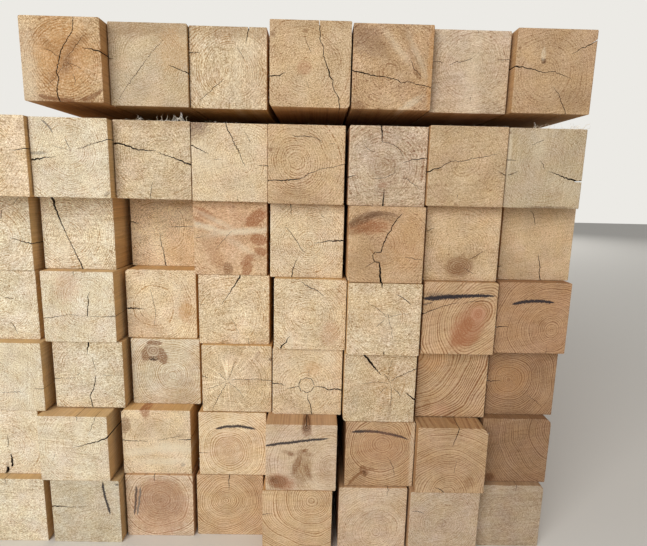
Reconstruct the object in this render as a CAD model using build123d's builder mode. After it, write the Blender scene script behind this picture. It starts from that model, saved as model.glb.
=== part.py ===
from build123d import *
from collections import namedtuple
from math import hypot
import os

# A stack of squared timber posts, seen end-on: six close layers of rough-sawn
# box-heart posts, and a seventh layer of seven posts held up by three thin battens.
# Millimetres. X runs along a layer, Y along the posts away from the front ends, Z up.

# Section and length of one post, as sawn
post_width = 100.0
post_height = 101.0
post_length = 3000.0
arris = 1.2                 # worn edge of a rough-sawn post

# The sawmill trims the far ends unevenly, in steps either side of the post's length
far_trim_step = 4.0
far_trim_kinds = 7

# Spacer battens between the sixth and the seventh layer
batten_thickness = 18.0
batten_width = 45.0
batten_setback = 380.0      # from the nominal front of the stack to the middle of the first batten
batten_count = 3
batten_inset = 6.0          # a batten ends this far inside the outer posts' side faces

# Drying checks: V grooves that run this many times their opening into the end grain
run_per_opening = 85.0
far_opening = 0.7           # openings at the far ends, as a share of the front ones
lip = 2.0                   # how far a groove's cutter stands out of the end face

# A waney post's log gets this much thinner, in radius, towards its far end
log_taper = 1.0

# Each layer from the ground up: where its first post's left side is, the gaps between
# neighbours, how far each front end stands proud of the nominal front, and how much
# each post's section is over its nominal size.
LAYERS = {
    1: dict(left=-492.0, gaps=(10, 3, 5, 3, 10, 3, 1), proud=(10, 11, -4, -8, 28, 18, 27, 8),
            over=(0, -.5, 0, -.5, 0, -.5, 0, 0)),
    2: dict(left=-500.0, gaps=(7, 12, 12, 3, 13, 1, 2), proud=(-3, 12, -8, -8, 27, 14, 28, -1),
            over=(0, -1, .5, -1, 0, -1, -1, 0)),
    3: dict(left=-487.0, gaps=(9, 6, 8, 2, 2, 6, 5), proud=(-1, -14, -30, -9, -4, 13, -4, -15),
            over=(.5, 0, .5, 0, -.5, .5, .5, 0)),
    4: dict(left=-495.0, gaps=(11, 7, 8, 8, 1, 4, 5), proud=(-18, -10, -34, -16, 1, 19, 12, 1),
            over=(0, 1, 1, 0, 0, -.5, 1, 1)),
    5: dict(left=-495.0, gaps=(7, 8, 7, 5, 5, 5, 10), proud=(-15, -30, -69, -15, -10, 17, 1, -19),
            over=(1, .5, 0, 1, .5, .5, .5, .5)),
    6: dict(left=-471.0, gaps=(1, 1, 1, 1, 5, 1, 2), proud=(18, 11, -3, -3, 4, 12, 18, 14),
            over=(0, -.5, 0, 0, .5, .5, 0, 0)),
    7: dict(left=-372.0, gaps=(1, 1, 6, 2, 1, 3), proud=(11, -8, -13, 15, 13, 0, 12),
            over=(-1, .5, 0, 1, 0, -.5, 0)),
}
FIRST_POST = {7: 2}         # the first place of the top layer is empty
TOP_LAYER = max(LAYERS)

# Checks that show on the front ends. Each is a line of points (across, up, opening):
# across and up in hundredths of the section from its lower left corner, opening in mm.
# A point outside 0 to 100 takes the groove out through the post's side.
CHECKS = {
    (7, 2): [[(68, 102, .5), (62, 82, .6), (50, 61, .8), (43, 39, .6), (42, 10, .9), (44, -2, 1.0)],
             [(102, 60, 1.0), (86, 63, .7), (77, 64, .2)]],
    (7, 3): [[(102, 41, .9), (90, 46, .6), (78, 50, .2)]],
    (7, 4): [[(77, 102, 1.0), (75, 90, .7), (72, 80, .2)]],
    (7, 5): [[(59, 102, .6), (62, 78, .6), (66, 60, .6), (73, 45, 1.0), (78, 30, .7), (88, -2, .8)],
             [(-2, 36, .8), (12, 37, .6), (20, 40, .2)]],
    (7, 6): [[(-2, 44, 1.2), (15, 42, 1.0), (30, 39, .7), (60, 35, .5), (80, 32, .5), (102, 28, .6)]],
    (7, 8): [[(-2, 55, 1.2), (8, 54.5, 1.0), (18, 52, .8), (36, 50, .2)]],
    (6, 2): [[(-2, 46, 1.7), (10, 48, 1.2), (22, 50, .7), (34, 52, .2)]],
    (6, 3): [[(-2, 71, 1.5), (8, 70.5, 1.6), (20, 66, 1.5), (30, 63, 1.0), (42, 61.5, .8), (55, 62, .3)],
             [(60, 60, .3), (75, 54, .7), (90, 48.5, 1.1), (102, 45, 1.5)]],
    (6, 4): [[(44, 102, 1.0), (50, 88, .8), (56, 75, .7), (62, 65, .6), (65, 57, .2)],
             [(-2, 71, .9), (5, 68, .7), (15, 64, .5), (24, 60, .2)]],
    (6, 5): [[(-2, 29, .7), (12, 30.5, .8), (30, 31, .5), (42, 32.5, .2)]],
    (6, 6): [[(39, 102, 1.4), (40.5, 90, 1.0), (42, 80, .3)], [(46, -2, .9), (47, 11, .3)]],
    (6, 7): [[(-2, 42, 1.3), (8, 45, 1.0), (18, 48, .7), (30, 53, .2)]],
    (6, 8): [[(102, 34, 1.6), (92, 36, 1.3), (82, 38, 1.0), (72, 42, .6), (66, 45, .2)]],
    (5, 1): [[(102, 37, 1.1), (95, 36, .9), (88, 39, .6), (80, 42, .2)]],
    (5, 2): [[(15, 102, 2.2), (20, 90, 1.9), (24, 75, 1.3), (33, 48, .7), (40, 30, .8), (52, -2, 1.3)]],
    (5, 3): [[(-2, 65, 1.1), (8, 64, .8), (15, 62, .2)], [(42, 48, .2), (44, 35, .6), (49, -2, 1.1)]],
    (5, 5): [[(102, 52, 1.3), (90, 52, 1.0), (75, 50, .5), (62, 48, .2)],
             [(30, -2, 1.0), (32, 12, .6), (36, 26, .2)]],
    (5, 6): [[(67, 92, .3), (55, 70, .6), (48, 57, .6), (44, 42, .4)],
             [(41, 27, .4), (44, 12, .8), (46, -2, 1.4)]],
    (5, 8): [[(54, 35, .2), (58, 18, .6), (61, -2, .9)]],
    (4, 2): [[(67, 70, .3), (61, 38, .8)]],
    (4, 3): [[(-2, 44, 1.5), (15, 44, .9), (25, 43, .2)]],
    (4, 4): [[(59, 102, 1.6), (53, 90, 1.2), (47, 78, .8), (41, 70, .5), (33, 58, .2)]],
    (4, 5): [[(8, -2, 1.5), (12, 5, 1.2), (17, 11, .8), (26, 24, .2)]],
    (4, 6): [[(44, 102, 1.2), (45, 94, .3)], [(52, -2, 1.4), (51, 8, .3)]],
    (4, 8): [[(-2, 38, .9), (8, 38, .6), (18, 38, .2)]],
    (3, 2): [[(53, 102, 1.2), (51, 92, .9), (50, 83, .3)],
             [(59, 47, .4), (57, 38, .8), (49, 18, .8), (54, -2, .8)]],
    (3, 3): [[(28, 68, .3), (32, 68, 1.2), (35, 68, .3)]],
    (3, 4): [[(-2, 55, .8), (9, 51, .2)]],
    (3, 5): [[(-2, 47, .9), (12, 47, .8), (20, 45, .2)], [(22, 39, .4), (30, 42, .7), (38, 43, .4)],
             [(61, 43.5, .5), (77, 40, 1.1), (90, 40, 1.2), (102, 38.5, 1.4)]],
    (3, 6): [[(23, 102, 2.2), (30, 96, 1.9), (37, 88, 1.5), (42, 81, 1.2), (51, 70, .3)],
             [(88, 44, .4), (95, 39, 1.0), (102, 35, 1.4)]],
    (3, 8): [[(-2, 52, .9), (8, 52, .6), (16, 52, .2)]],
    (2, 1): [[(58, 31, .4), (57, 24, 1.5), (55, 12, 1.8)], [(52, 11, 1.6), (47, 3, 2.4), (45, -2, 2.6)]],
    (2, 2): [[(102, 69, 1.4), (98, 67, 1.2), (85, 61, .9), (70, 56, .5), (60, 54, .2)]],
    (2, 3): [[(-2, 52, 1.0), (12, 52, .7), (35, 52, .2)],
             [(102, 55.5, 1.1), (90, 55, .7), (82, 55, .2)]],
    (2, 7): [[(57, 102, .7), (56, 92, .6), (53, 82, .5), (50, 71, .2)],
             [(30, 8, .3), (38, 5, .8), (45, -2, 1.0)]],
    (1, 2): [[(-2, 59, 1.2), (15, 58, .7), (28, 57, .2)]],
    (1, 4): [[(49, 102, 1.0), (48.5, 90, .8), (48, 77, .2)]],
}

# Waney posts: where the middle of the log is on the front end, in hundredths of the
# section, and how far the log falls short of the corner furthest from there.
WANE = {
    (1, 8): (44, 44, 3.5),
    (2, 3): (56, 44, 2.8),
    (2, 7): (43, 42, 5.4),
    (2, 8): (44, 43, 4.1),
    (3, 6): (57, 57, 2.8),
    (4, 3): (56, 44, 2.8),
    (4, 7): (44, 44, 1.6),
    (5, 6): (56, 56, 2.6),
    (7, 5): (50, 56, 2.4),
}

Post = namedtuple("Post", "layer number left floor width height near length")


def lay_layer(layer, below):
    """A layer's posts, each resting on the highest of the posts that it lies across."""
    row = LAYERS[layer]
    number = FIRST_POST.get(layer, 1)
    left = row["left"]
    posts = []
    for proud, over, gap in zip(row["proud"], row["over"], row["gaps"] + (0,)):
        width = post_width + over
        carriers = [post for post in below if post.left < left + width and left < post.left + post.width]
        if layer == TOP_LAYER:
            floor = top_of(below) + batten_thickness
        else:
            floor = top_of(carriers)
        trim = (3 * number + 5 * layer) % far_trim_kinds - far_trim_kinds // 2
        length = post_length + far_trim_step * trim
        posts.append(Post(layer, number, left, floor, width, post_height + over, -proud, length))
        left += width + gap
        number += 1
    return posts


def top_of(posts):
    """Height of the highest of these posts, or the ground's where there are none."""
    return max((post.floor + post.height for post in posts), default=0.0)


def centred(posts):
    """The posts moved so that the origin is on the ground under the middle of the stack."""
    shift_x = -(min(p.left for p in posts) + max(p.left + p.width for p in posts)) / 2
    shift_y = -(min(p.near for p in posts) + max(p.near + p.length for p in posts)) / 2
    print("stack moved by", round(shift_x, 2), round(shift_y, 2))
    return [p._replace(left=p.left + shift_x, near=p.near + shift_y) for p in posts]


def check_groove(line, post, at_far_end):
    """One drying check: a V groove along a line of points on one of the post's ends.

    A post is sawn a little askew to its log, so the heart crosses the section from end
    to end, and the far end's checks are the front's turned half round.
    """
    inward = -1 if at_far_end else 1
    end = post.near + (post.length if at_far_end else 0)
    share = far_opening if at_far_end else 1
    spots = []
    for across, up, opening in line:
        if at_far_end:
            across, up = 100 - across, 100 - up
        x = post.left + across * post.width / 100
        z = post.floor + up * post.height / 100
        spots.append((x, z, opening * share))
    with BuildPart() as groove:
        for i, (x, z, opening) in enumerate(spots):
            before = spots[max(i - 1, 0)]
            after = spots[min(i + 1, len(spots) - 1)]
            dx, dz = after[0] - before[0], after[1] - before[1]
            run = opening * run_per_opening
            mouth = opening / 2 * (1 + lip / run)
            with BuildSketch(Plane(origin=(x, end, z), x_dir=(dz, 0, -dx), z_dir=(dx, 0, dz))):
                with BuildLine():
                    Polyline((-mouth, -lip * inward), (mouth, -lip * inward), (0, run * inward),
                             close=True)
                make_face()
        loft(ruled=True)
    return groove.part


def log_radius(across, up, short, post):
    """Radius of the log round (across, up) that falls short of the furthest corner."""
    furthest_x = max(across, 100 - across) * post.width / 100
    furthest_z = max(up, 100 - up) * post.height / 100
    return hypot(furthest_x, furthest_z) - short


def build_post(plan):
    """A squared post with worn arrises, the wane of its log and its drying checks."""
    far = plan.near + plan.length
    lines = CHECKS.get((plan.layer, plan.number), [])
    grooves = [check_groove(line, plan, at_far_end) for line in lines for at_far_end in (False, True)]
    with BuildPart() as post:
        with BuildSketch(Plane.XZ.offset(-plan.near)) as section:
            with Locations((plan.left + plan.width / 2, plan.floor + plan.height / 2)):
                Rectangle(plan.width, plan.height)
            chamfer(section.vertices(), arris)
        extrude(amount=-plan.length)
        if (plan.layer, plan.number) in WANE:
            across, up, short = WANE[(plan.layer, plan.number)]
            radius = log_radius(across, up, short, plan)
            for end, middle, size in ((plan.near, (across, up), radius),
                                      (far, (100 - across, 100 - up), radius - log_taper)):
                with BuildSketch(Plane.XZ.offset(-end)):
                    with Locations((plan.left + middle[0] * plan.width / 100,
                                    plan.floor + middle[1] * plan.height / 100)):
                        Circle(size)
            loft(mode=Mode.INTERSECT)
        for groove in grooves:
            add(groove, mode=Mode.SUBTRACT)
    post.part.label = f"layer{plan.layer}_post{plan.number}"
    export_step(post.part, f"parts/{post.part.label}.step")


def build_batten(index, carriers, nominal_near):
    """A spacer batten across the sixth layer, under the seventh."""
    begin = min(post.left for post in carriers) + batten_inset
    finish = max(post.left + post.width for post in carriers) - batten_inset
    first = nominal_near + batten_setback
    last = nominal_near + post_length - batten_setback
    middle = first + (last - first) * index / (batten_count - 1)
    with BuildPart() as batten:
        with BuildSketch(Plane.YZ.offset(begin)):
            with Locations((middle, top_of(carriers) + batten_thickness / 2)):
                Rectangle(batten_width, batten_thickness)
        extrude(amount=finish - begin)
    batten.part.label = f"batten_{index + 1}"
    export_step(batten.part, f"parts/{batten.part.label}.step")


os.makedirs("parts", exist_ok=True)

stack = []
for layer in LAYERS:
    stack += lay_layer(layer, [post for post in stack if post.layer == layer - 1])
stack = centred(stack)
for plan in stack:
    build_post(plan)

carriers = [post for post in stack if post.layer == TOP_LAYER - 1]
nominal_near = stack[0].near + LAYERS[1]["proud"][0]
for index in range(batten_count):
    build_batten(index, carriers, nominal_near)
print(len(stack), "posts and", batten_count, "battens, top at", top_of(stack))
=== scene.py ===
# %% [markdown]
# A stack of squared timber posts, seen end-on. Fifty-five rough-sawn posts lie in seven
# layers: eight to a layer, seven in the top one, which rides on three thin battens.
# Everything that tells this wood apart is on the sawn ends: growth rings, drying checks
# that run in from the arrises, knots, stains and a few crayon strokes.
# The solids come from the frame. This script dresses each one, in the same place.

import math

import bmesh
import bpy
import numpy as np
from mathutils import Matrix, Vector, noise


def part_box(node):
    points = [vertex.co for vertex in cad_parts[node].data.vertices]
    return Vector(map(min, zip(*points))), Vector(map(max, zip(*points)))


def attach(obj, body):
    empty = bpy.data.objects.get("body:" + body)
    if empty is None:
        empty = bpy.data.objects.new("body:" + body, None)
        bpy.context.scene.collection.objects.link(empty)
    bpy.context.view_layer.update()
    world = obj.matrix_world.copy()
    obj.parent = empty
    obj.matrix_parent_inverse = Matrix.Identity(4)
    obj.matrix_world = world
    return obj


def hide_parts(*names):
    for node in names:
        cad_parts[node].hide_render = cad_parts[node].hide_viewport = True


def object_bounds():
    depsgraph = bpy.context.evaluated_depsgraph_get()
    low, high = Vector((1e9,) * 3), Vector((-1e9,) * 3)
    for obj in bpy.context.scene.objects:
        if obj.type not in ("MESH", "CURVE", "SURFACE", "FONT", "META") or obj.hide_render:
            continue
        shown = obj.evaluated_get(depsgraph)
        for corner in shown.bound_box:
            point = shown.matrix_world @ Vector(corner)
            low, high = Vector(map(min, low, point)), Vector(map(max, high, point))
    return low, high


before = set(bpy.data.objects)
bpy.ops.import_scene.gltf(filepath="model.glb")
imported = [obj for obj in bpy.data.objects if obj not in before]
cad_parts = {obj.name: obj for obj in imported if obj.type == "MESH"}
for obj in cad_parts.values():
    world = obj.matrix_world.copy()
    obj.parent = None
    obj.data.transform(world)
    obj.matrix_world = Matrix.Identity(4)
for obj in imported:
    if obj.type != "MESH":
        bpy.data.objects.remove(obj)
cad_low, cad_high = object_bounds()
scene = bpy.context.scene
scene.view_settings.view_transform = "Standard"
MM = 0.001
print("frame box in metres:", [round(b - a, 3) for a, b in zip(cad_low, cad_high)])

# %% [markdown]
# The camera stands a little above the middle of the stack, close in front of it, and
# looks slightly down. Its place was found by fitting the corners of the posts' ends,
# so it is given from the stack's own box: across from its middle, out from its nominal
# front plane, and up from the floor.

# %% Camera
PHOTO_WIDTH = 647                          # pixels
FOCAL_PIXELS = 468.2
SENSOR_WIDTH = 36.0                        # mm
FRONT_PLANE = cad_low[1] + 0.028           # the nominal front, behind the post that stands most proud
CAMERA_PLACE = Vector((0.0718, FRONT_PLANE - 0.6307, 0.5246))
PITCH, YAW, ROLL = (math.radians(angle) for angle in (10.09, -0.77, 1.32))


def set_up(name, data):
    """Put a mesh, lamp or camera into the scene as an object."""
    thing = bpy.data.objects.new(name, data)
    scene.collection.objects.link(thing)
    return thing


ahead = Vector((-math.sin(YAW) * math.cos(PITCH), math.cos(YAW) * math.cos(PITCH), -math.sin(PITCH)))
level_right = Vector((math.cos(YAW), math.sin(YAW), 0))
level_up = level_right.cross(ahead)
right = math.cos(ROLL) * level_right + math.sin(ROLL) * level_up
up = right.cross(ahead)
camera = set_up("camera", bpy.data.cameras.new("camera"))
camera.data.sensor_fit = "HORIZONTAL"
camera.data.sensor_width = SENSOR_WIDTH
camera.data.lens = SENSOR_WIDTH * FOCAL_PIXELS / PHOTO_WIDTH
camera.data.clip_start = 0.01
camera.matrix_world = Matrix.Translation(CAMERA_PLACE) @ Matrix((right, up, -ahead)).transposed().to_4x4()
scene.camera = camera
print("camera at", [round(c, 3) for c in CAMERA_PLACE], "lens", round(camera.data.lens, 2), "mm")

# %% [markdown]
# Every post has its own marks. This table holds, for each post, what its front end shows:
# its tone, where its pith lies, how wide and how strong its rings are, and its drying
# checks. A check is a crooked line of points, each written across,up,opening in
# millimetres from the post's lower left corner, and a / stands between two checks. Lines
# under half a millimetre are hair checks. A point outside 0 to 100 takes the check out
# through the side.

# %% What each post shows
def look(tone, pith, ring, contrast, checks="", **more):
    """What one post shows, with the text of its checks as lines of points."""
    lines = [[tuple(map(float, point.split(","))) for point in check.split()]
             for check in checks.split("/") if check.strip()]
    return dict(more, tone=tone, pith=pith, ring=ring, contrast=contrast, checks=lines)


POSTS = {
    (7, 2): look("honey", (56, 49), 3.2, 0.4, shade=1.01, rays=0.3, checks="""
        51,51,.3 37,60,.4 24,63,.2 / 59,54,.3 70,67,.5 80,79,.2 / 60,46,.3 74,40,.4 / 53,44,.3
        41,28,.4 31,20,.2 / 68,102,.6 67,84,.7 61,77,.7 57,70,.8 51,61,.9 45,41,.9 43,36,.8 45,27,.9
        42,12,1 44,-2,1 / 102,60,1.1 88,63,.9 77,64,.3 / 64,34,.3 66,25,.5 65,20,.2 / 58,47,.3
        62,41,.4 63,38,.2"""),
    (7, 3): look("straw", (49, 58), 2.6, 0.22, shade=0.93, rays=0.1, smooth=0.25, checks="""
        102,41,1 90,45,.8 81,48.5,.6 75,50.5,.3 / -2,56.5,.9 6,56.5,.3 / 48,57,.3 35,40,.5 26,30,.4
        10,8,.2 / 50,59,.3 60,70,.4 70,80,.2"""),
    (7, 4): look("straw", (52, 48), 2.8, 0.34, shade=0.98, saw=88, checks="""
        77,102,1.2 75,93,.9 74,86,.7 72,80,.2 / -2,67.5,.9 14,67.7,.3 / 12,10,.3 21,17,.5 31,26,.6
        44,37,.3 / 61,76,.2 70,62,.4"""),
    (7, 5): look("honey", (43, 47), 3, 0.22, smooth=0, checks="""
        60,102,.7 61,89,.8 61,77,.7 66,70,.7 66,60,.8 70,49,.9 73,44.5,1.3 74,37,1 78,32,.8 78,27,.7
        80.5,20,.7 86,12,.8 88,-2,.9 / -2,35.6,1 12.5,36,.9 15.5,38.6,.7 20,40,.3 / 43,81,.2 50,65,.4
        / 46,30,.2 49,23,.4"""),
    (7, 6): look("tan", (47, 44), 3.4, 0.2, smooth=0, checks="""
        -2,45,1.4 9.5,43.5,1.2 19,41.5,1 29.5,39.5,.9 41,39,.8 49.5,37,.7 58,35.3,.7 61.5,32,.6
        70,33.7,.5 81,31.3,.6 102,27,.7 / 72,59,.3 76.5,49,.5 88,39,.3"""),
    (7, 7): look("rose", (50, 60), 2.6, 0.2, smooth=0.5, shade=0.97, checks="""
        2.5,61.7,.4 11,61.7,.4 16,60,.2 / 22.5,58,.3 32.5,61.7,.5 41,62.7,.5 52.5,67,.3 / 84,65.5,.3
        98,66,.5 102,66,.5 / 57,102,.6 57,96,.2 / 53,20,.5 53,15,.2"""),
    (7, 8): look("tan", (39, 48), 3, 0.18, smooth=0.35, shade=0.97, checks="""
        -2,55,1.3 9.5,54,1.1 16,52.7,.9 23,53,.8 31,50,.7 38.7,49,.5 44.5,50,.5 51,50,.6 62,46,.5
        74,42,.2 / 70,71.4,.3 81,78,.6 94,84,.8 102,90,.9 / 50,32.4,.3 57,25,.5 61,17.4,.6 69,3,.6
        70,-2,.6"""),
    (6, 1): look("straw", (44, 52), 3, 0.26, shade=1.03, checks="102,60,1 88,58,.6 78,57,.2"),
    (6, 2): look("cream", (51, 60), 2.6, 0.34, rays=0.1, checks="""
        -2,46,1.9 11,48,1.3 18,49.7,.9 32.5,51.3,.2 / 45.5,74.6,.3 48,67.7,.6 50.4,62,.3 / 61,61.3,.3
        68,64,.6 78,67.7,.6 88,70.6,.7 102,75,.9 / 28,65,.2 40,62,.4 50,60,.2"""),
    (6, 3): look("straw", (57, 61), 2.8, 0.26, shade=0.97, checks="""
        -2,69.6,1.7 6.5,71,1.8 11.5,69.6,1.7 19.5,66.7,1.6 31,63,1.2 41,62,1 55,62,.4 / 58,60,.4
        68,56.7,.9 73.7,54.9,1 83.7,51,1.2 102,45,1.6 / 49,21.7,.3 46.5,13,.5 45,-2,.7"""),
    (6, 4): look("straw", (67, 52), 2.8, 0.22, shade=1.02, checks="""
        44,102,1.2 47.6,92.4,1 53,83,.9 56,74,.8 62,66,.8 64.7,58,.7 69.7,46,.3 / -2,71.5,1 9.7,67,.8
        15.4,64,.7 22.6,60.6,.3 / 29.7,54.3,.4 39,54.6,.3 / 87,48,.3 97,47.7,.6 102,47.7,.6 /
        69.7,90,.3 77.6,77.4,.4 / 59.7,7.4,.2 62,-2,.5"""),
    (6, 5): look("honey", (38, 55), 3, 0.32, smooth=0.1, checks="""
        31,87,.3 37,85,.6 45,86,.7 59.4,85,.6 66,82.7,.5 69.4,78.4,.3 / 79.4,77,.4 86.6,78,.3 /
        -2,28.9,.9 9.4,30,.9 29.4,30.6,1.1 39.4,32,.7 46.6,33.7,.6 51,38.4,.6 59.4,41,.5 68,45,.4
        81,47.4,.4 102,53,.6"""),
    (6, 6): look("rose", (44, 52), 4.2, 0.25, shade=1, smooth=0, checks="""
        39,102,1.6 41,90.6,1.2 41.6,80,.5 / 41,80,.3 49.7,79,.5 58.3,76,.5 65.4,70,.4 69.7,62,.2 /
        17.6,77.7,.3 25.4,69.9,.5 32.6,67.7,.3 / 31,35,.3 45.4,35.6,.5 57,41,.5 59.7,45,.4 59,50.6,.2
        / -2,35,.9 4.7,37.4,.7 9.7,39,.3 / 69.7,55.6,.3 81,59.6,.7 102,61.3,.9 / 69.7,36,.3 76.9,34,.5
        92.6,23.4,.3 / 46,-2,1.7 46.6,10.6,1.2 46.6,20.6,.3"""),
    (6, 7): look("honey", (50, 57), 3, 0.18, shade=0.95, smooth=0.3, checks="""
        -2,42,1.3 8,46,1 16.6,48.6,.8 20,51.7,.7 29.4,56.7,.6 42.3,56.3,.5 55,60,.5 69.4,62.9,.5
        86.6,66,.3 / 90,45,.3 102,40,.9 / 39.7,15,.4 39.7,9,.3"""),
    (6, 8): look("straw", (47.6, 55.3), 2.8, 0.18, shade=0.89, smooth=0.3, saw=85, checks="""
        -2,60,.9 12,60,.3 / 3,41.4,.6 15.4,46,.3 / 43,60,.3 47.6,55,.6 50.4,49.6,.3 / 55,47,.3
        68.3,43,.8 76.9,39.6,1.2 86.9,37.7,1.6 92.6,35.3,1.6 102,34.7,1.9 / 30.4,79.6,.3 45.4,86,.4"""),
    (5, 1): look("cream", (52, 50), 2.8, 0.3, checks="""
        102,36.5,1.3 89.4,39,.9 81,42,.7 71,45,.3 / 88,100,.4 79.4,87.7,.3"""),
    (5, 2): look("cream", (34, 48), 2.8, 0.42, shade=1.03, checks="""
        15.5,102,2.8 19,93.4,2.4 21,83.4,1.9 25.4,69.9,1.4 29,59,1 33.3,48.4,.8 37.6,37.7,.8
        42.6,26.3,.9 48.3,13.4,1.1 53.8,-2,1.5"""),
    (5, 3): look("straw", (40, 56.3), 2.8, 0.36, shade=1.08, checks="""
        -2,65.3,1.5 6.6,64,1 12,62,.3 / 56.6,58.6,.2 68,58.9,.6 80,59.4,.5 93,59.9,.3 / 42.3,48.9,.3
        43.7,36,.7 46.6,23,.8 48.7,13,.9 49.6,-2,1.2"""),
    (5, 4): look("honey", (52, 60), 3, 0.24, shade=1.06, rays=0.2, checks="""
        -2,50,.7 12,52,.3 / 30,36,.2 42,50,.4 52,60,.2"""),
    (5, 5): look("straw", (54, 47), 2.8, 0.34, shade=1.03, rays=0.1, checks="""
        59.4,47.7,.3 73.7,49.9,.8 79.4,51,.9 88,51.3,1.1 102,51.6,1.5 / 20,69,.3 28.7,61.3,.6
        33.7,52.7,.7 43,39,.5 48,34,.3 / 37.3,26.3,.3 33,17,.7 30.9,9,.9 30,-2,1.2 / 27.3,102,.8
        28.7,85.6,.3 / 68.7,86,.4 73,82.7,.3"""),
    (5, 6): look("tan", (46, 50), 3.2, 0.2, shade=1.02, smooth=0.2, checks="""
        69,90.6,.5 65.4,87.7,.8 62,82.7,.9 57,74.9,1 54,67.7,1 49.7,60.6,1.1 46,50.6,1.1 43.6,40.9,1
        36,40.6,.9 33.3,37,.8 33,32,.8 36,28.4,.9 41,27.4,1.1 43.3,20.6,1.5 43.7,9,1.9 46,-2,2.2 /
        24,20.6,.3 35,27.7,.6 / 75.4,34.9,.3 86,33,.5 98,32,.3"""),
    (5, 7): look("honey", (46, 40), 3, 0.2, shade=1.01, smooth=0.3, checks="""
        60,29.6,.3 69.4,33.9,.6 78.7,41,.3 / 55,17.4,.4 68.7,9.9,.3 / -2,65.5,.8 11,71,.3"""),
    (5, 8): look("honey", (48, 62), 2.8, 0.12, shade=1, smooth=0.4, checks="""
        36,96,.3 40.4,93,.6 43.3,84.6,.6 45.4,76.7,.3 / 54,36,.3 56,27.4,.7 58.3,17.4,.9 57.6,11.7,.9
        61,-2,1.2 / -2,18,.8 5.4,19,.3"""),
    (4, 1): look("cream", (47, 60), 2.8, 0.28, checks="""
        49.4,64,.3 59.4,59,.6 68,58,.3 / 59.4,26.3,.3 63.7,19,.7 68.7,6.3,.3"""),
    (4, 2): look("cream", (64, 62), 2.8, 0.28, saw=80, checks="""
        66,72,.3 65.4,69,.8 63.3,54.9,1 61.9,44.9,1 60.9,37.4,.9 / -2,33,.8 12.6,35,.6 24,37.3,.5
        37.6,39.4,.3 60.9,37.4,.3 80,37,.4 102,38,.8 / 46,102,.7 46,94,.3 / 42,27,.4 43.7,23.4,.3"""),
    (4, 3): look("straw", (40, 50), 3, 0.3, shade=1.06, checks="""
        -2,42.9,1.8 3.7,43.6,1.5 15,43.7,1.1 25,42.4,.3 / 34.4,71.7,.3 37.3,60.3,.5 39.4,48.9,.5
        40.9,40.3,.5 40.6,30.3,.4 38,18.9,.2 / 20,36,.3 23,31.7,.3"""),
    (4, 4): look("straw", (44, 42), 2.8, 0.3, shade=1.05, rays=0.1, checks="""
        60.5,102,1.7 56,93,1.4 51.9,86.7,1.2 48.3,81,1 42.6,71.7,.7 37.6,64.6,.5 31.9,56.7,.2 /
        44,40,.2 48.3,34.6,.4 54,21.7,.4 56.9,14.6,.2 / 69.7,8.9,.3 71.4,-2,.6 / 2,56.7,.5 10,56.7,.3"""),
    (4, 5): look("straw", (45, 50), 2.8, 0.28, shade=1.03, checks="""
        36.6,97,.3 43,91.7,.7 50.9,88,.8 59.4,84,.7 65,79.9,.6 69.4,77,.3 / 8.5,-2,2 11.6,4.9,1.7
        17.3,10.9,1.1 22.3,19,.3"""),
    (4, 6): look("straw", (56, 52.7), 2.8, 0.28, shade=1.03, rays=0.2, checks="""
        57,54,.3 70,58,.4 86,60,.2 / 56,51,.3 61,38,.4 63,24,.2 / 54,54,.3 40,66,.4 24,76,.2 /
        49.7,49.9,.3 45.4,45,.6 39.7,40.6,.3 / 64.7,85.6,.3 71,82.7,.6 79.7,77,.9 85.4,72,.5 /
        51.7,-2,2 51.9,6.3,.5 / 44.7,102,2 45.4,94,.5 / 54.7,57.7,.5 56,52.7,.3"""),
    (4, 7): look("tan", (73, 54), 2.7, 0.62, smooth=1, oval=(0.35, 60), checks="""
        -2,54,.9 10.9,61,.7 23.7,66,.6 38,70,.5 47.3,72,.3 / 53,71.4,.3 66.6,74.6,.5 88,75.7,.3"""),
    (4, 8): look("umber", (79, 34.3), 2.4, 0.65, shade=1.03, smooth=0.9, checks="""
        -2,37.7,1 11,37.7,.7 18.3,37.4,.3 / 73.3,-2,.6 74,8.9,.2"""),
    (3, 1): look("cream", (38, 27), 2.8, 0.26, saw=84, checks="""
        41,27,.3 55,28,.5 68,28,.3 / 88,33.7,.4 102,33.7,.7"""),
    (3, 2): look("cream", (59, 53), 2.8, 0.28, checks="""
        53,102,2 50.9,89,1.4 49.7,80.6,.3 / 56,77,.3 57,70.6,.5 59,64.9,.5 60,57,.3 / 59.7,49,.5
        58.3,40.6,.9 55.4,29,1 51,20.6,1 49.3,17,.9 51,11.3,.9 53.5,-2,1.1 / 32.6,49,.3 36,50.6,.5
        37.6,52.3,.3 / -2,43,1 10,44,.3 31,45,.2 / 69.7,49.9,.3 84,49.6,.4"""),
    (3, 3): look("cream", (60, 44), 2.7, 0.7, shade=0.97, smooth=0.7, checks="""
        27,67.5,.4 31,69,1.6 36,68.5,.4"""),
    (3, 4): look("straw", (36.4, 46.3), 2.8, 0.3, shade=1.07, rays=0.42, checks="""
        37,48,.3 44,64,.4 48,78,.2 / 38,45,.3 52,34,.4 62,20,.2 / -2,54.5,1.1 8.3,51.3,.4 / 21,60,.3
        27,55,.5 34,49,.3 / 42.6,48.9,.3 64,49.3,.5 78.3,50.9,.4 102,48,.6 / 36,44,.3 28,32,.5
        20,16,.5 14,3,.3 / 34,46,.2 18,38,.4 6,33,.3"""),
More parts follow.
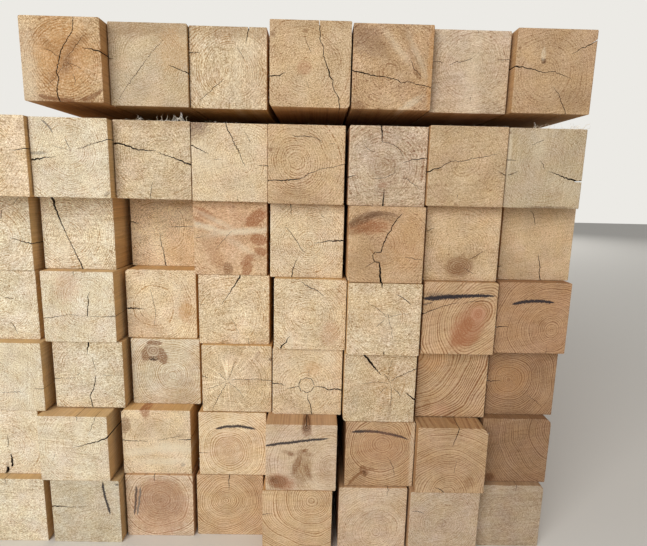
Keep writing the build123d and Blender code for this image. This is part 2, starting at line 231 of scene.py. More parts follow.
    (3, 5): look("straw", (49, 45), 3, 0.3, shade=1.03, smooth=0.3, rays=0.12, checks="""
        -2,47,1.1 10,46.7,.9 14.4,44.9,.8 19,44.5,.3 / 21.6,39.4,.4 29.4,41,.9 32.3,42.3,.8 38,42.7,.5
        / 60.4,45,.7 57.1,53.1,.7 49,56.4,.7 40.9,53.1,.7 37.6,45,.7 40.9,36.9,.7 49,33.6,.7
        57.1,36.9,.7 60,43,.7 / 62,43.4,.5 70.9,42.4,1 76.6,40.6,1.2 80.9,38.7,1.3 88,39.9,1.4
        93.7,39.9,1.5 102,37.8,1.7 / 52.3,58.5,.3 52.3,69,.4 / 50.9,31.5,.4 51.6,23.4,.7 55,16.3,.8
        56.6,9,.9 57,-2,1"""),
    (3, 6): look("straw", (64, 58), 2.8, 0.25, shade=1, rays=0.3, checks="""
        63,60,.3 62,78,.4 66,92,.2 / 62,57,.3 44,60,.4 26,56,.2 / 65,56,.3 68,38,.5 66,24,.3 /
        23.5,102,2.8 29.7,95.6,2.4 35.4,87.7,2 41,81.6,1.6 45.4,76.3,1.2 51,69.9,.5 / 55.4,70.6,.3
        59.7,67,.6 64,59,.3 / 64,58,.3 71,65.6,.6 86.9,72.7,.6 102,81,.8 / 60.4,52.7,.3 54,47,.5
        51.4,44,.3 / 69.7,50.6,.3 76.9,44,.8 80.4,38.4,.3 / 87,44,.4 94,38.9,1.4 102,33.5,2.1"""),
    (3, 7): look("tan", (-13, 95), 3.4, 0.8, shade=0.98, smooth=1),
    (3, 8): look("umber", (31.4, 53.9), 2.6, 0.78, shade=0.94, smooth=0.9, checks="""
        -2,52,1 10,51.7,.7 19.7,51.7,.3 / 60,31,.2 75,22,.4 84,12,.2"""),
    (2, 1): look("cream", (52, 46), 2.8, 0.26, shade=1.03, checks="""
        54.9,62,.3 54.4,50.6,.7 53,44,.7 50.9,42,.3 / 56.3,32,.8 57,23.4,2 56.6,13.4,2.2 56,11.5,1.8 /
        50,11,2 50,6,3 46,-2,3.4"""),
    (2, 2): look("cream", (60, 54), 2.8, 0.28, rays=0.1, smooth=0.3, checks="""
        102,70,1.7 98.3,67.7,1.5 84,62,1.2 74,59.4,1 61.9,54.9,.7 48,53,.2 / 56.8,102,.8 57.9,93,.3 /
        22.6,42,.3 18.3,30.6,.4 / 84,100,.5 78,84,.4 73,72,.2"""),
    (2, 3): look("straw", (50.9, 53), 3, 0.24, shade=1.05, smooth=0.1, checks="""
        -2,52.7,1.1 12.3,52,.8 36.6,52,.4 / 50.9,53,.3 72.3,58,.5 85,61,.3 / 82,54.6,.4 102,55.4,1.2"""),
    (2, 4): look("straw", (43, 39), 2.6, 0.75, shade=1.04, smooth=0.9, checks="-2,35,.7 12,36,.3"),
    (2, 5): look("rose", (92, 40), 3, 0.3, shade=0.99, smooth=0.8, checks="56.6,102,.9 56,93,.3"),
    (2, 6): look("tan", (52.6, 65), 2.7, 0.65, shade=0.97, smooth=0.9, checks="""
        62,46,.2 70,32,.5 73,16,.3"""),
    (2, 7): look("tan", (46, -2), 2.6, 0.6, shade=0.96, smooth=1, checks="""
        57.2,102,.9 57.6,98,.8 56.3,91.7,.8 52.3,80.3,.6 50,71.7,.2 / 57.6,50,.2 55,31.7,.4 /
        29.4,8.4,.4 38,5.3,.9 45.5,-2,1.2"""),
    (2, 8): look("umber", (130, 88), 2.6, 0.6, shade=0.88, smooth=1),
    (1, 1): look("cream", (50, 45), 2.8, 0.2, checks="44,102,.7 46,90,.3"),
    (1, 2): look("cream", (50, 58), 2.8, 0.2, shade=0.9, smooth=0.3, checks="""
        -2,58.4,1.6 14,58.4,1.2 22.6,57.3,.7 48.3,57.7,.2"""),
    (1, 3): look("rose", (50, 60), 3, 0.55, smooth=0.7, shade=1.03, checks="43.4,102,.9 43,90,.3"),
    (1, 4): look("honey", (42.6, 58), 2.6, 0.8, smooth=0.9, checks="""
        49.8,102,1.1 48.7,93,.9 48.7,84.6,.6 48.3,76,.3"""),
    (1, 5): look("honey", (69.4, 86), 2.6, 0.72, smooth=0.9, checks="-2,62,.8 15,64,.3"),
    (1, 6): look("rose", (56, 30), 3, 0.3, smooth=0.7, checks="72,102,.7 70,88,.3"),
    (1, 7): look("rose", (48, 50), 2.8, 0.25, shade=0.93, smooth=0.6, checks="""
        3.7,70,.4 11.6,69.6,.8 20.9,66,.3"""),
    (1, 8): look("rose", (44, 44), 2.8, 0.25, shade=0.86, smooth=0.6, checks="60,102,.6 58,92,.3"),
}
check_count = sum(len(post["checks"]) for post in POSTS.values())
print(len(POSTS), "posts,", check_count, "drying checks on the front ends")

# %% [markdown]
# A waney post was sawn from a log that was a little too thin for it, so the log's round
# cuts off one corner. The log's middle is given on the front end; towards the far end it
# crosses to the other side, and the log gets a little thinner.

# %% The logs of the waney posts
WANE = {                    # (across, up) of the log's middle, and how far it falls short of the corner
    (1, 8): (44, 44, 3.5), (2, 3): (56, 44, 2.8), (2, 7): (43, 42, 5.4), (2, 8): (44, 43, 4.1),
    (3, 6): (57, 57, 2.8), (4, 3): (56, 44, 2.8), (4, 7): (44, 44, 1.6), (5, 6): (56, 56, 2.6),
    (7, 5): (50, 56, 2.4),
}
LOG_TAPER = 1.0             # mm that a log's radius loses over the post's length
LOG_BUMPS = 0.25            # mm that a log's bark side rises and falls by


def post_box(layer, number):
    """The lowest and highest corner of a post, in millimetres."""
    low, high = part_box(f"layer{layer}_post{number}")
    return np.array(low) / MM, np.array(high) / MM


print(len(WANE), "posts carry wane")

# %% [markdown]
# A post is a skin of quads: a grid on each end, and rings of the same points along its
# length. The grid's lines draw together at the arrises, so that these can be worn round
# and nicked, and the rings draw together near the ends, where the eye goes. Everything
# that wears a post only takes wood away, so no post leaves its place in the stack.

# %% The skin of a post
CLOSE_LINES = (0.0, 0.5, 1.1, 2.0, 3.5)              # mm in from an arris
CLOSE_RINGS = (0.0, 0.6, 1.6, 4.0, 10.0, 24.0, 50.0, 95.0, 160.0, 250.0, 370.0, 520.0, 700.0, 900.0,
               1100.0, 1300.0)                       # mm in from an end
OPEN_LINES = 17
WORN, NICKED = 1.3, 3.2                              # mm of rounding on an arris, and of the odd knock
NICKS_FROM = 0.35                                    # the noise above which an arris is knocked
FACE_SINKS, NEAR_FACE = 0.16, 0.9                    # mm of hollows in the sides, and where a side begins
EDGE_SINKS, EDGE_WIDE = 0.35, 1.1                    # mm that an end drops at its edge, and over what width
END_WAVES = ((0.18, 0.05, 0.05), (0.10, 0.35, 0.12))  # mm of depth, then how close the waves of an end lie


def lines_across(size):
    """Grid lines over a face of this size, close together at both arrises."""
    inner = np.linspace(CLOSE_LINES[-1], size - CLOSE_LINES[-1], OPEN_LINES)[1:-1]
    return np.concatenate([CLOSE_LINES, inner, size - np.array(CLOSE_LINES)[::-1]])


def unevenness(x, y, z):
    """Smooth noise at many points, from -1 to 1."""
    return np.array([noise.noise(Vector(point)) for point in zip(x, y, z)])


def wear_corners(u, v, width, height, radii):
    """Round the four arrises of a section, each by its own radius."""
    u, v = u.copy(), v.copy()
    for (at_right, at_top), radius in radii.items():
        du = radius - (width - u if at_right else u)
        dv = radius - (height - v if at_top else v)
        inside = (du > 0) & (dv > 0)
        draw = np.ones_like(u)
        draw[inside] = np.maximum(du, dv)[inside] / np.hypot(du, dv)[inside]
        nu, nv = radius - du * draw, radius - dv * draw
        u[inside] = (width - nu if at_right else nu)[inside]
        v[inside] = (height - nv if at_top else nv)[inside]
    return u, v


def sink_faces(value, size, depth):
    """Draw the points of two opposite faces in by this depth."""
    to_middle = np.clip(1 - 2 * value / size, -1, 1)
    return value + depth * to_middle * (np.abs(to_middle) > NEAR_FACE)


def cut_by_log(u, v, y, width, height, length, wane):
    """Draw in the points that lie outside the post's log."""
    across, up, short = wane
    share = y / length
    middle_u = (across + (100 - 2 * across) * share) * width / 100
    middle_v = (up + (100 - 2 * up) * share) * height / 100
    radius = math.hypot(max(across, 100 - across) * width / 100, max(up, 100 - up) * height / 100) - short
    radius = radius - LOG_TAPER * share + LOG_BUMPS * unevenness(u * 0.08, y * 0.01 + u * 0, v * 0.08)
    draw = np.minimum(1, radius / np.hypot(u - middle_u, v - middle_v))
    return middle_u + (u - middle_u) * draw, middle_v + (v - middle_v) * draw


def worn_section(u, v, y, size, wane, seed):
    """A section's points at this length along the post, worn, hollowed and cut by its log."""
    width, length, height = size
    radii = {}
    for corner, key in enumerate([(0, 0), (1, 0), (0, 1), (1, 1)]):
        place = Vector((y * 0.02, corner * 7.3, seed * 3.1))
        knock = max(0.0, noise.noise(place * 1.7) - NICKS_FROM) * NICKED
        radii[key] = WORN * (1 + 0.5 * noise.noise(place)) + knock
    u, v = wear_corners(u, v, width, height, radii)
    depth = FACE_SINKS * (1 + unevenness(u * 0.06 + seed, v * 0.06, y * 0.012 + u * 0))
    u, v = sink_faces(u, width, depth), sink_faces(v, height, depth)
    if wane:
        u, v = cut_by_log(u, v, y, width, height, length, wane)
    return u, v


def written_out(body, mesh):
    """Turn all faces outwards, write the shape into its mesh and give that back."""
    bmesh.ops.recalc_face_normals(body, faces=body.faces[:])
    body.to_mesh(mesh)
    body.free()
    return mesh


def post_skin(name, low, high, wane=None, seed=0):
    """A closed mesh of quads for one rough-sawn post, in metres."""
    size = width, length, height = high - low
    across, upward = lines_across(width), lines_across(height)
    columns, rows = len(across), len(upward)
    rings = np.array([r for r in CLOSE_RINGS if r < length / 2])
    rings = np.concatenate([rings, (length - rings)[::-1]])
    grid_u, grid_v = (part.ravel() for part in np.meshgrid(across, upward))
    index = np.arange(columns * rows).reshape(rows, columns)
    border = np.concatenate([index[0, :-1], index[:-1, -1], index[-1, :0:-1], index[:0:-1, 0]])
    inner = np.setdiff1d(np.arange(columns * rows), border)

    points = []
    for y in rings:
        u, v = worn_section(grid_u[border], grid_v[border], y, size, wane, seed)
        points.append(np.stack([u, np.full_like(u, y), v], axis=1))
    from_edge = np.minimum.reduce([grid_u, width - grid_u, grid_v, height - grid_v])
    ends = []
    for y, inward, salt in ((0.0, 1, 0.0), (length, -1, 50.0)):
        u, v = worn_section(grid_u, grid_v, y, size, wane, seed)
        sunk = EDGE_SINKS * np.clip(1 - from_edge / EDGE_WIDE, 0, 1) ** 2
        for deep, close_u, close_v in END_WAVES:
            sunk += deep * (1 + unevenness(u * close_u + salt, v * close_v + seed, u * 0 + salt))
        ends.append(np.stack([u, y + inward * sunk, v], axis=1))
    points[0], points[-1] = ends[0][border], ends[1][border]
    vertices = np.concatenate(points + [ends[0][inner], ends[1][inner]])

    count = len(border)
    faces = []
    for ring in range(len(rings) - 1):
        base, above = ring * count, (ring + 1) * count
        for j in range(count):
            after = (j + 1) % count
            faces.append((base + j, base + after, above + after, above + j))
    for which, first in ((0, 0), (1, (len(rings) - 1) * count)):
        number = np.empty(columns * rows, dtype=int)
        number[border] = first + np.arange(count)
        number[inner] = len(rings) * count + which * len(inner) + np.arange(len(inner))
        number = number.reshape(rows, columns)
        for j in range(rows - 1):
            for i in range(columns - 1):
                quad = (number[j, i], number[j + 1, i], number[j + 1, i + 1], number[j, i + 1])
                faces.append(quad if which == 0 else quad[::-1])
    mesh = bpy.data.meshes.new(name)
    mesh.from_pydata(((vertices + low) * MM).tolist(), [], faces)
    body = bmesh.new()
    body.from_mesh(mesh)
    return written_out(body, mesh)


print(len(lines_across(100)), "grid lines across an end,", 2 * len(CLOSE_RINGS), "rings along a post")

# %% [markdown]
# A drying check opens at the surface and narrows to nothing inside, because the wood
# shrinks more along the rings than across them. So each one is cut as a thin wedge with
# a crooked line: its points are set closer together, and each is pushed a little to one
# side. The wedges of both ends are cut out in one boolean, and the walls keep the dark
# finish of the wedge, which is painted shade for the deep, narrow cleft. At the far end
# the heart has crossed the section, so the checks there are the front's turned half
# round, and less open.

# %% The drying checks
CHECK_STEP = 2.2            # mm between the points of a crooked line
CHECK_WANDER = 0.8          # mm that a point may leave its line by
OPENING_VARIES = (0.78, 1.25)
RUN_PER_OPENING = 85.0      # how many times deeper than wide a check is
FAR_OPENING = 0.7           # how open a check is at the far end, with the front as 1
OPENING_SHOWN = 1.25        # a check's real opening, for one that looks 1 wide with its shadow
LIP = 1.0                   # mm that a wedge stands out of the wood


def crooked(line, random):
    """The points of a check's line, closer together and pushed off it a little."""
    result = []
    for (u0, v0, w0), (u1, v1, w1) in zip(line, line[1:]):
        span = math.hypot(u1 - u0, v1 - v0)
        steps = max(1, round(span / CHECK_STEP))
        for step in range(steps):
            t = step / steps
            off = random.normal(0, CHECK_WANDER / 2) if result else 0
            along = span or 1
            result.append((u0 + (u1 - u0) * t - off * (v1 - v0) / along,
                           v0 + (v1 - v0) * t + off * (u1 - u0) / along,
                           (w0 + (w1 - w0) * t) * random.uniform(*OPENING_VARIES)))
    return result + [line[-1]]


def join_rings(body, rings):
    """Faces between rings of three points each."""
    for ring, following in zip(rings, rings[1:]):
        for j in range(3):
            body.faces.new((ring[j], ring[(j + 1) % 3], following[(j + 1) % 3], following[j]))


def wedge(body, line, low, high, at_far_end):
    """Add one check's wedge to the cutter."""
    inward = -1 if at_far_end else 1
    width, height = (high[0] - low[0]) / 100, (high[2] - low[2]) / 100
    end = high[1] if at_far_end else low[1]
    rings = []
    for i, (u, v, opening) in enumerate(line):
        before, after = line[max(i - 1, 0)], line[min(i + 1, len(line) - 1)]
        along = Vector((after[0] - before[0], 0, after[1] - before[1])).normalized()
        side = Vector((along.z, 0, -along.x))
        if at_far_end:
            u, v, side, opening = 100 - u, 100 - v, -side, opening * FAR_OPENING
        middle = Vector((low[0] + u * width, end, low[2] + v * height))
        run = opening * RUN_PER_OPENING
        half = OPENING_SHOWN * opening / 2 * (1 + LIP / run)
        corners = (middle + side * half, middle - side * half, middle)
        depths = (-LIP, -LIP, run)
        rings.append([body.verts.new((corner + Vector((0, depth * inward, 0))) * MM)
                      for corner, depth in zip(corners, depths)])
    join_rings(body, rings)
    body.faces.new(rings[0])
    body.faces.new(rings[-1][::-1])


def checks_cutter(layer, number, low, high, wall):
    random = np.random.default_rng(1000 * layer + number)
    body = bmesh.new()
    for line in POSTS[(layer, number)]["checks"]:
        for at_far_end in (False, True):
            wedge(body, crooked(line, random), low, high, at_far_end)
    mesh = written_out(body, bpy.data.meshes.new("wedges"))
    mesh.materials.append(wall)
    cutter = set_up("wedges", mesh)
    cutter.hide_render = True
    return cutter


def evaluated_mesh(piece):
    """A plain mesh of what a piece looks like with its modifiers."""
    bpy.context.view_layer.update()
    return bpy.data.meshes.new_from_object(piece.evaluated_get(bpy.context.evaluated_depsgraph_get()))


def cut(piece, cutter):
    """Cut the wedges out of a piece and throw them away."""
    modifier = piece.modifiers.new("checks", "BOOLEAN")
    modifier.operation, modifier.solver, modifier.object = "DIFFERENCE", "EXACT", cutter
    modifier.material_mode = "TRANSFER"
    modifier.use_self = True
    result = evaluated_mesh(piece)
    piece.modifiers.clear()
    whole = piece.data
    piece.data = result
    result.name = piece.name
    bpy.data.meshes.remove(whole)
    wedges = cutter.data
    bpy.data.objects.remove(cutter)
    bpy.data.meshes.remove(wedges)


print("a check that is 1 mm open runs", RUN_PER_OPENING, "mm into the post")

# %% [markdown]
# Wood looks different on a sawn end and on a sawn side, but both are cuts through the same
# log. So one group makes the wood as a solid: rings around each post's own pith, which
# drifts across the section on its way to the far end. On the ends this gives circles, and
# on the sides long flames, with no seam between them. The group also lays fibres along the
# sides, grit and saw marks on the ends, and branch knots that run out from the pith.
# Lengths inside it are millimetres from the post's own lower left front corner. The three
# numbers of a noise field say how close it lies across, along and up the post.

# %% Short ways to place nodes
class Wiring:
    """Places nodes in one tree; a value may be a number, a tuple or another node's socket."""

    def __init__(self, tree):
        self.tree = tree

    def join(self, value, socket):
        if isinstance(value, bpy.types.NodeSocket):
            self.tree.links.new(value, socket)
        elif value is not None:
            socket.default_value = value

    def node(self, kind, *values, **settings):
        """A shader node with its first inputs filled in order."""
        node = self.tree.nodes.new("ShaderNode" + kind)
        for key, value in settings.items():
            setattr(node, key, value)
        for socket, value in zip(node.inputs, values):
            self.join(value, socket)
        return node

    def add(self, kind, settings=None, **values):
        """Any node, and its outputs; a value is given by its input's name, with _ for a space."""
        node = self.tree.nodes.new(kind)
        for key, value in (settings or {}).items():
            setattr(node, key, value)
        for label, value in values.items():
            self.join(value, node.inputs[label.replace("_", " ")])
        return node.outputs

    def group(self, group, **values):
        return self.add("ShaderNodeGroup", {"node_tree": group}, **values)

    def math(self, operation, *values, clamp=False):
        return self.node("Math", *values, operation=operation, use_clamp=clamp).outputs[0]

    def plus(self, *values, **more):
        return self.math("ADD", *values, **more)

    def minus(self, *values):
        return self.math("SUBTRACT", *values)

    def times(self, *values, **more):
        return self.math("MULTIPLY", *values, **more)

    def times_plus(self, *values, **more):
        return self.math("MULTIPLY_ADD", *values, **more)

    def over(self, *values):
        return self.math("DIVIDE", *values)

    def vector(self, operation, *values):
        node = self.node("VectorMath", *values, operation=operation)
        return node.outputs["Value" if operation in ("LENGTH", "DOT_PRODUCT") else "Vector"]

    def scaled(self, vector, by):
        node = self.node("VectorMath", vector, operation="SCALE")
        self.join(by, node.inputs["Scale"])
        return node.outputs[0]

    def noise(self, vector, scale=1.0, detail=2.0, rough=0.5):
        return self.add("ShaderNodeTexNoise", Vector=vector, Scale=scale, Detail=detail, Roughness=rough)[0]

    def field(self, place, stretch, salt=None, **more):
        """Noise over a place, stretched along its axes and moved by the salt."""
        stretched = self.vector("MULTIPLY", place, stretch)
        return self.noise(stretched if salt is None else self.vector("ADD", stretched, salt), **more)

    def chance(self, x, y, z):
        """A random colour and value for each whole place."""
        return self.node("TexWhiteNoise", self.whole(x, y, z), noise_dimensions="3D").outputs

    def ramp(self, value, low, high, to_low=0.0, to_high=1.0):
        given = (value, low, high, to_low, to_high)
        return self.node("MapRange", *given, interpolation_type="SMOOTHSTEP").outputs[0]

    def blend(self, share, first, second):
        """One number fading into another."""
        return self.node("Mix", share, None, first, second, data_type="FLOAT").outputs[0]

    def mix(self, share, first, second, blend="MIX"):
        """One colour over another."""
        node = self.node("Mix", data_type="RGBA", blend_type=blend)
        for socket, value in ((0, share), (6, first), (7, second)):
            self.join(value, node.inputs[socket])
        return node.outputs[2]

    def parts(self, vector):
        return self.node("SeparateXYZ", vector).outputs

    def whole(self, x, y, z):
        return self.node("CombineXYZ", x, y, z).outputs[0]


def shader_group(name, takes, gives):
    """A shader group with named inputs and outputs: (tree, wiring, what it takes, what it gives)."""
    tree = bpy.data.node_groups.new(name, "ShaderNodeTree")
    for label, kind, value in takes:
        socket = tree.interface.new_socket(label, in_out="INPUT", socket_type="NodeSocket" + kind)
        socket.default_value = value
    for label, kind in gives:
        tree.interface.new_socket(label, in_out="OUTPUT", socket_type="NodeSocket" + kind)
    have, give = tree.nodes.new("NodeGroupInput").outputs, tree.nodes.new("NodeGroupOutput").inputs
    return tree, Wiring(tree), have, give


print("short ways:", ", ".join(name for name in vars(Wiring) if not name.startswith("_")))

# %% [markdown]
# A knot is the foot of a branch, so it starts at the pith and grows wider on its way out.
# The wood round the pith is split into cells of turn and length. Each cell holds one knot
# of random place and size, which leans up its tree, and the thinnest are left out. The
# year rings swell round each knot, as they do where a trunk closes over a branch.

# %% Branch knots
KNOT_EVERY, KNOTS_ROUND = 430.0, 3.0        # mm of length to a knot, and how many stand round the pith
KNOT_SIZES = (13.0, -2.0)                   # mm of radius: the spread, and where it begins
KNOT_LEANS = 0.35                           # how far a branch leans towards the top of its tree


def branch_knots(w, y, seed, turn, reach):
    """Knots, one to a cell of turn and length: their mask and rings, and how they bend the year rings."""
    cell_a = w.times_plus(turn, KNOTS_ROUND / (2 * math.pi), KNOTS_ROUND)
    cell_y = w.times_plus(y, 1 / KNOT_EVERY, 0.15)
    chances = w.parts(w.chance(w.math("FLOOR", cell_a), w.math("FLOOR", cell_y), seed)["Color"])
    off_a = w.minus(w.math("FRACT", cell_a), w.times_plus(chances[0], 0.4, 0.3))
    off_y = w.minus(w.math("FRACT", cell_y), w.times_plus(chances[1], 0.3, 0.35))
    round_way = w.times(w.times(off_a, 2 * math.pi / KNOTS_ROUND), reach)
    lean = w.times_plus(reach, -KNOT_LEANS, w.times(off_y, KNOT_EVERY))
    knot_reach = w.vector("LENGTH", w.whole(w.times(lean, 0.8), round_way, 0.0))
    size = w.times(w.times_plus(chances[2], *KNOT_SIZES), w.ramp(reach, 0.0, 55.0, 0.35, 1.0))
    size = w.math("MAXIMUM", size, 0.01)
    share = w.over(knot_reach, size)
    bend = w.times(w.math("EXPONENT", w.times(w.math("POWER", share, 2.0), -0.35)), size)
    mask = w.times(w.ramp(share, 1.15, 0.85), w.math("GREATER_THAN", size, 2.0))
    rings = w.ramp(w.math("SINE", w.times(knot_reach, 2.4)), -0.6, 1.0, 0.75, 1.0)
    return mask, rings, bend


print("a knot every", KNOT_EVERY, "mm of length,", int(KNOTS_ROUND), "round the pith")

# %% [markdown]
# A year's ring begins pale and ends in a dark line that stops sharply. How far a point
# lies from the pith, divided by a ring's width, counts the years: the whole part is the
# year, and the rest is how far the year has got. Slow noise bends the rings, each year
# gets its own strength, and a rough saw blurs and breaks the lines.

# %% Growth rings
def growth_rings(w, have, flat, bend, salt, sawn, rough_cut):
    """Rings round the pith, bent by noise and knots: the late wood, and how strongly it shows."""
    place, seed = have["Place"], have["Seed"]
    slow = w.field(place, (0.022, 0.0012, 0.022), salt, detail=1.0)
    quick = w.field(place, (0.16, 0.006, 0.16), salt, detail=3.0)
    cosine, sine = w.math("COSINE", have["Oval Angle"]), w.math("SINE", have["Oval Angle"])
    out_u, _, out_v = w.parts(flat)
    long_way = w.plus(w.times(out_u, cosine), w.times(out_v, sine))
    squeezed = w.scaled(w.whole(cosine, 0.0, sine), w.times(long_way, have["Oval"]))
    bent = w.plus(w.vector("LENGTH", w.vector("SUBTRACT", flat, squeezed)), w.times_plus(slow, 16.0, -8.0))
    bent = w.plus(bent, w.times(w.minus(quick, 0.5), w.times_plus(rough_cut, 1.7, 0.8)))
    bent = w.plus(bent, bend)
    uneven = w.noise(w.whole(w.times(bent, 0.11), seed, 0.0), detail=1.0)
    phase = w.plus(w.over(bent, have["Ring Width"]), w.times(uneven, 2.2))
    inner = w.math("FRACT", phase)
    late = w.times(w.ramp(inner, 0.35, 0.88), w.ramp(inner, 1.0, 0.9))
    year = w.chance(w.math("FLOOR", phase), seed, 3.0)["Value"]
    strength = w.times(w.times_plus(year, 0.9, 0.45), have["Ring Contrast"])

    def evened(value, share):
        """A smooth cut shows its rings more evenly."""
        return w.times_plus(w.minus(1.0, value), w.times(have["Smooth Cut"], share), value)

    faded = w.ramp(w.field(place, (0.05, 0.004, 0.05), salt), 0.35, 0.65, 0.3, 1.25)
    broken = w.ramp(w.field(sawn, (0.26, 1.0, 0.36)), 0.36, 0.62, 0.25, 1.35)
    strength = w.times(w.times(strength, evened(faded, 0.8)), evened(broken, 0.6))
    strength = w.times(strength, w.times_plus(rough_cut, 0.7, 1.0))
    return late, w.times(late, strength, clamp=True)


ring_widths = [post["ring"] for post in POSTS.values()]
print("rings are", min(ring_widths), "to", max(ring_widths), "mm wide")

# %% [markdown]
# The saws leave the rest. A cross-cut saw tears the ends: grit and specks drawn out along
# its way, and loose pale fibres. A band saw leaves fine teeth across the long fibres of
# the sides. Dark spots of wood are brown and not grey, so the light works on red, green
# and blue by different powers.

# %% Sawn ends and sides
GREEN_POWER, BLUE_POWER = 1.2, 1.5          # with red as 1


def end_finish(w, have, ring, late, blotch, turn, reach, sawn, rough_cut):
    """A sawn end: grit and torn specks drawn out along the saw's way, and pale rays from the pith."""
    grit = w.field(sawn, (0.62, 1.0, 1.0), detail=3.0, rough=0.65)
    specks = w.ramp(w.field(sawn, (0.25, 1.0, 0.60), detail=3.0, rough=0.7), 0.54, 0.66)
    fluff = w.times(w.ramp(w.field(sawn, (0.50, 1.3, 0.75)), 0.58, 0.68), rough_cut)
    fan = w.whole(w.times(turn, 8.0), w.times(reach, 0.025), have["Seed"])
    rays = w.times(w.ramp(w.noise(fan, detail=3.0), 0.52, 0.66), w.ramp(reach, 48.0, 12.0, 0.3, 1.0))
    saw = w.field(sawn, (0.016, 1.0, 0.42), detail=3.0)
    grain = w.ramp(grit, 0.34, 0.66)
    torn = w.times(specks, w.times_plus(rough_cut, 0.08, 0.06))

    browned = w.times(specks, w.times_plus(rough_cut, 0.40, 0.20))
    tone = w.mix(w.plus(ring, browned, clamp=True), have["Light Wood"], have["Ring Wood"])
    light = w.times_plus(w.minus(grain, 0.5), w.times_plus(rough_cut, 0.40, 0.20), 0.95)
    light = w.plus(light, w.times_plus(saw, 0.40, -0.17))
    light = w.minus(w.times_plus(fluff, 0.15, light), torn)
    light = w.plus(light, w.times_plus(blotch, 0.46, -0.23))
    light = w.plus(light, w.times(w.minus(rays, 0.3), have["Rays"]))
    high = w.plus(w.times(grain, w.times_plus(rough_cut, 0.5, 0.08)), w.times(saw, 0.5))
    high = w.minus(w.plus(high, w.times(late, 0.10)), torn)
    return tone, light, high, w.ramp(grit, 0.3, 0.7, 0.95, 0.8)


def side_finish(w, have, ring, blotch, place, salt):
    """A sawn side: long fibres, and the band saw's teeth across them."""
    u, y, v = w.parts(place)
    fibre = w.field(place, (0.8, 0.012, 0.8), salt, detail=4.0, rough=0.6)
    teeth = w.noise(w.whole(w.times(u, 0.02), w.times(y, 0.30), w.times(v, 0.02)))
    tone = w.mix(w.times(ring, 0.8), have["Side Wood"], have["Ring Wood"])
    light = w.plus(w.times_plus(fibre, 0.80, 0.55), w.times(teeth, 0.12))
    light = w.plus(light, w.times_plus(blotch, 0.36, -0.18))
    return tone, light, w.plus(w.times(fibre, 0.5), w.times(teeth, 0.45))


def lightened(w, tone, light, place, salt):
    """Lighten a tone; dark spots turn browner than they are dim, and patches turn warm or flush."""
    warm = w.minus(w.field(place, (0.045, 0.003, 0.045), w.scaled(salt, 1.3)), 0.5)
    flush = w.ramp(w.field(place, (0.03, 0.002, 0.03), w.scaled(salt, 2.1), detail=3.0), 0.42, 0.66)
    red = w.times(light, w.times_plus(warm, 0.10, 1.09))
    green = w.times(w.math("POWER", light, GREEN_POWER), w.times_plus(flush, -0.03, 1.13))
    blue = w.times(w.math("POWER", light, BLUE_POWER), w.times_plus(warm, -0.28, 1.165))
    return w.mix(1.0, tone, w.whole(red, green, blue), blend="MULTIPLY")


print("the light's power on green is", GREEN_POWER, "and on blue", BLUE_POWER)

# %% [markdown]
# One group joins these parts. A face that looks along the post gets the end's finish, and
# the others get the side's. Named inputs hold all that changes from post to post.

# %% Solid sawn wood
def make_sawn_wood():
    """The whole wood as one group."""
    takes = [("Place", "Vector", (0, 0, 0)), ("Normal", "Vector", (0, 0, 1)),
             ("Pith", "Vector", (50, 0, 50)), ("Drift", "Vector", (0, 0, 0)),
             ("Ring Width", "Float", 3.0), ("Ring Contrast", "Float", 0.3),
             ("Oval", "Float", 0.0), ("Oval Angle", "Float", 0.0), ("Smooth Cut", "Float", 0.0),
             ("Rays", "Float", 0.1), ("Saw Angle", "Float", 0.0), ("Seed", "Float", 0.0),
             ("Light Wood", "Color", (1, 1, 1, 1)), ("Ring Wood", "Color", (0.5, 0.5, 0.5, 1)),
             ("Side Wood", "Color", (0.7, 0.6, 0.5, 1)), ("Knot Wood", "Color", (0.3, 0.15, 0.08, 1))]
    gives = [("Colour", "Color"), ("Height", "Float"), ("Roughness", "Float")]
    tree, w, have, give = shader_group("sawn_wood", takes, gives)
    place, seed = have["Place"], have["Seed"]
    u, y, v = w.parts(place)
    salt = w.whole(seed, seed, w.times(seed, 1.7))
    rough_cut = w.minus(1.0, have["Smooth Cut"])
    on_end = w.ramp(w.math("ABSOLUTE", w.parts(have["Normal"])[1]), 0.55, 0.8)

    # The pith, and the way out from it
    pith = w.vector("ADD", have["Pith"], w.scaled(have["Drift"], y))
    out_u, _, out_v = w.parts(w.vector("SUBTRACT", place, pith))
    flat = w.whole(out_u, 0.0, out_v)
    reach = w.vector("LENGTH", flat)
    turn = w.math("ARCTAN2", out_v, out_u)

    # The place along and across the saw's way over an end
    cosine, sine = w.math("COSINE", have["Saw Angle"]), w.math("SINE", have["Saw Angle"])
    along_saw = w.plus(w.times(u, cosine), w.times(v, sine))
    across_saw = w.minus(w.times(v, cosine), w.times(u, sine))
    sawn = w.vector("ADD", w.whole(along_saw, w.times(y, 0.2), across_saw), salt)

    knot, knot_rings, bend = branch_knots(w, y, seed, turn, reach)
    late, ring = growth_rings(w, have, flat, bend, salt, sawn, rough_cut)
    blotch = w.field(place, (0.03, 0.002, 0.03), salt)
    end_tone, end_light, end_high, roughness = end_finish(
        w, have, ring, late, blotch, turn, reach, sawn, rough_cut)
    side_tone, side_light, side_high = side_finish(w, have, ring, blotch, place, salt)
    tone, light = w.mix(on_end, side_tone, end_tone), w.blend(on_end, side_light, end_light)
    tone = lightened(w, tone, light, place, salt)
    knot_tone = w.mix(1.0, have["Knot Wood"], w.whole(knot_rings, knot_rings, knot_rings), blend="MULTIPLY")
    w.join(w.mix(w.times(knot, 0.85), tone, knot_tone), give["Colour"])
    w.join(w.blend(on_end, side_high, end_high), give["Height"])
    w.join(w.minus(roughness, w.times(knot, 0.2)), give["Roughness"])
    return tree


sawn_wood = make_sawn_wood()
print("sawn_wood:", len(sawn_wood.nodes), "nodes")

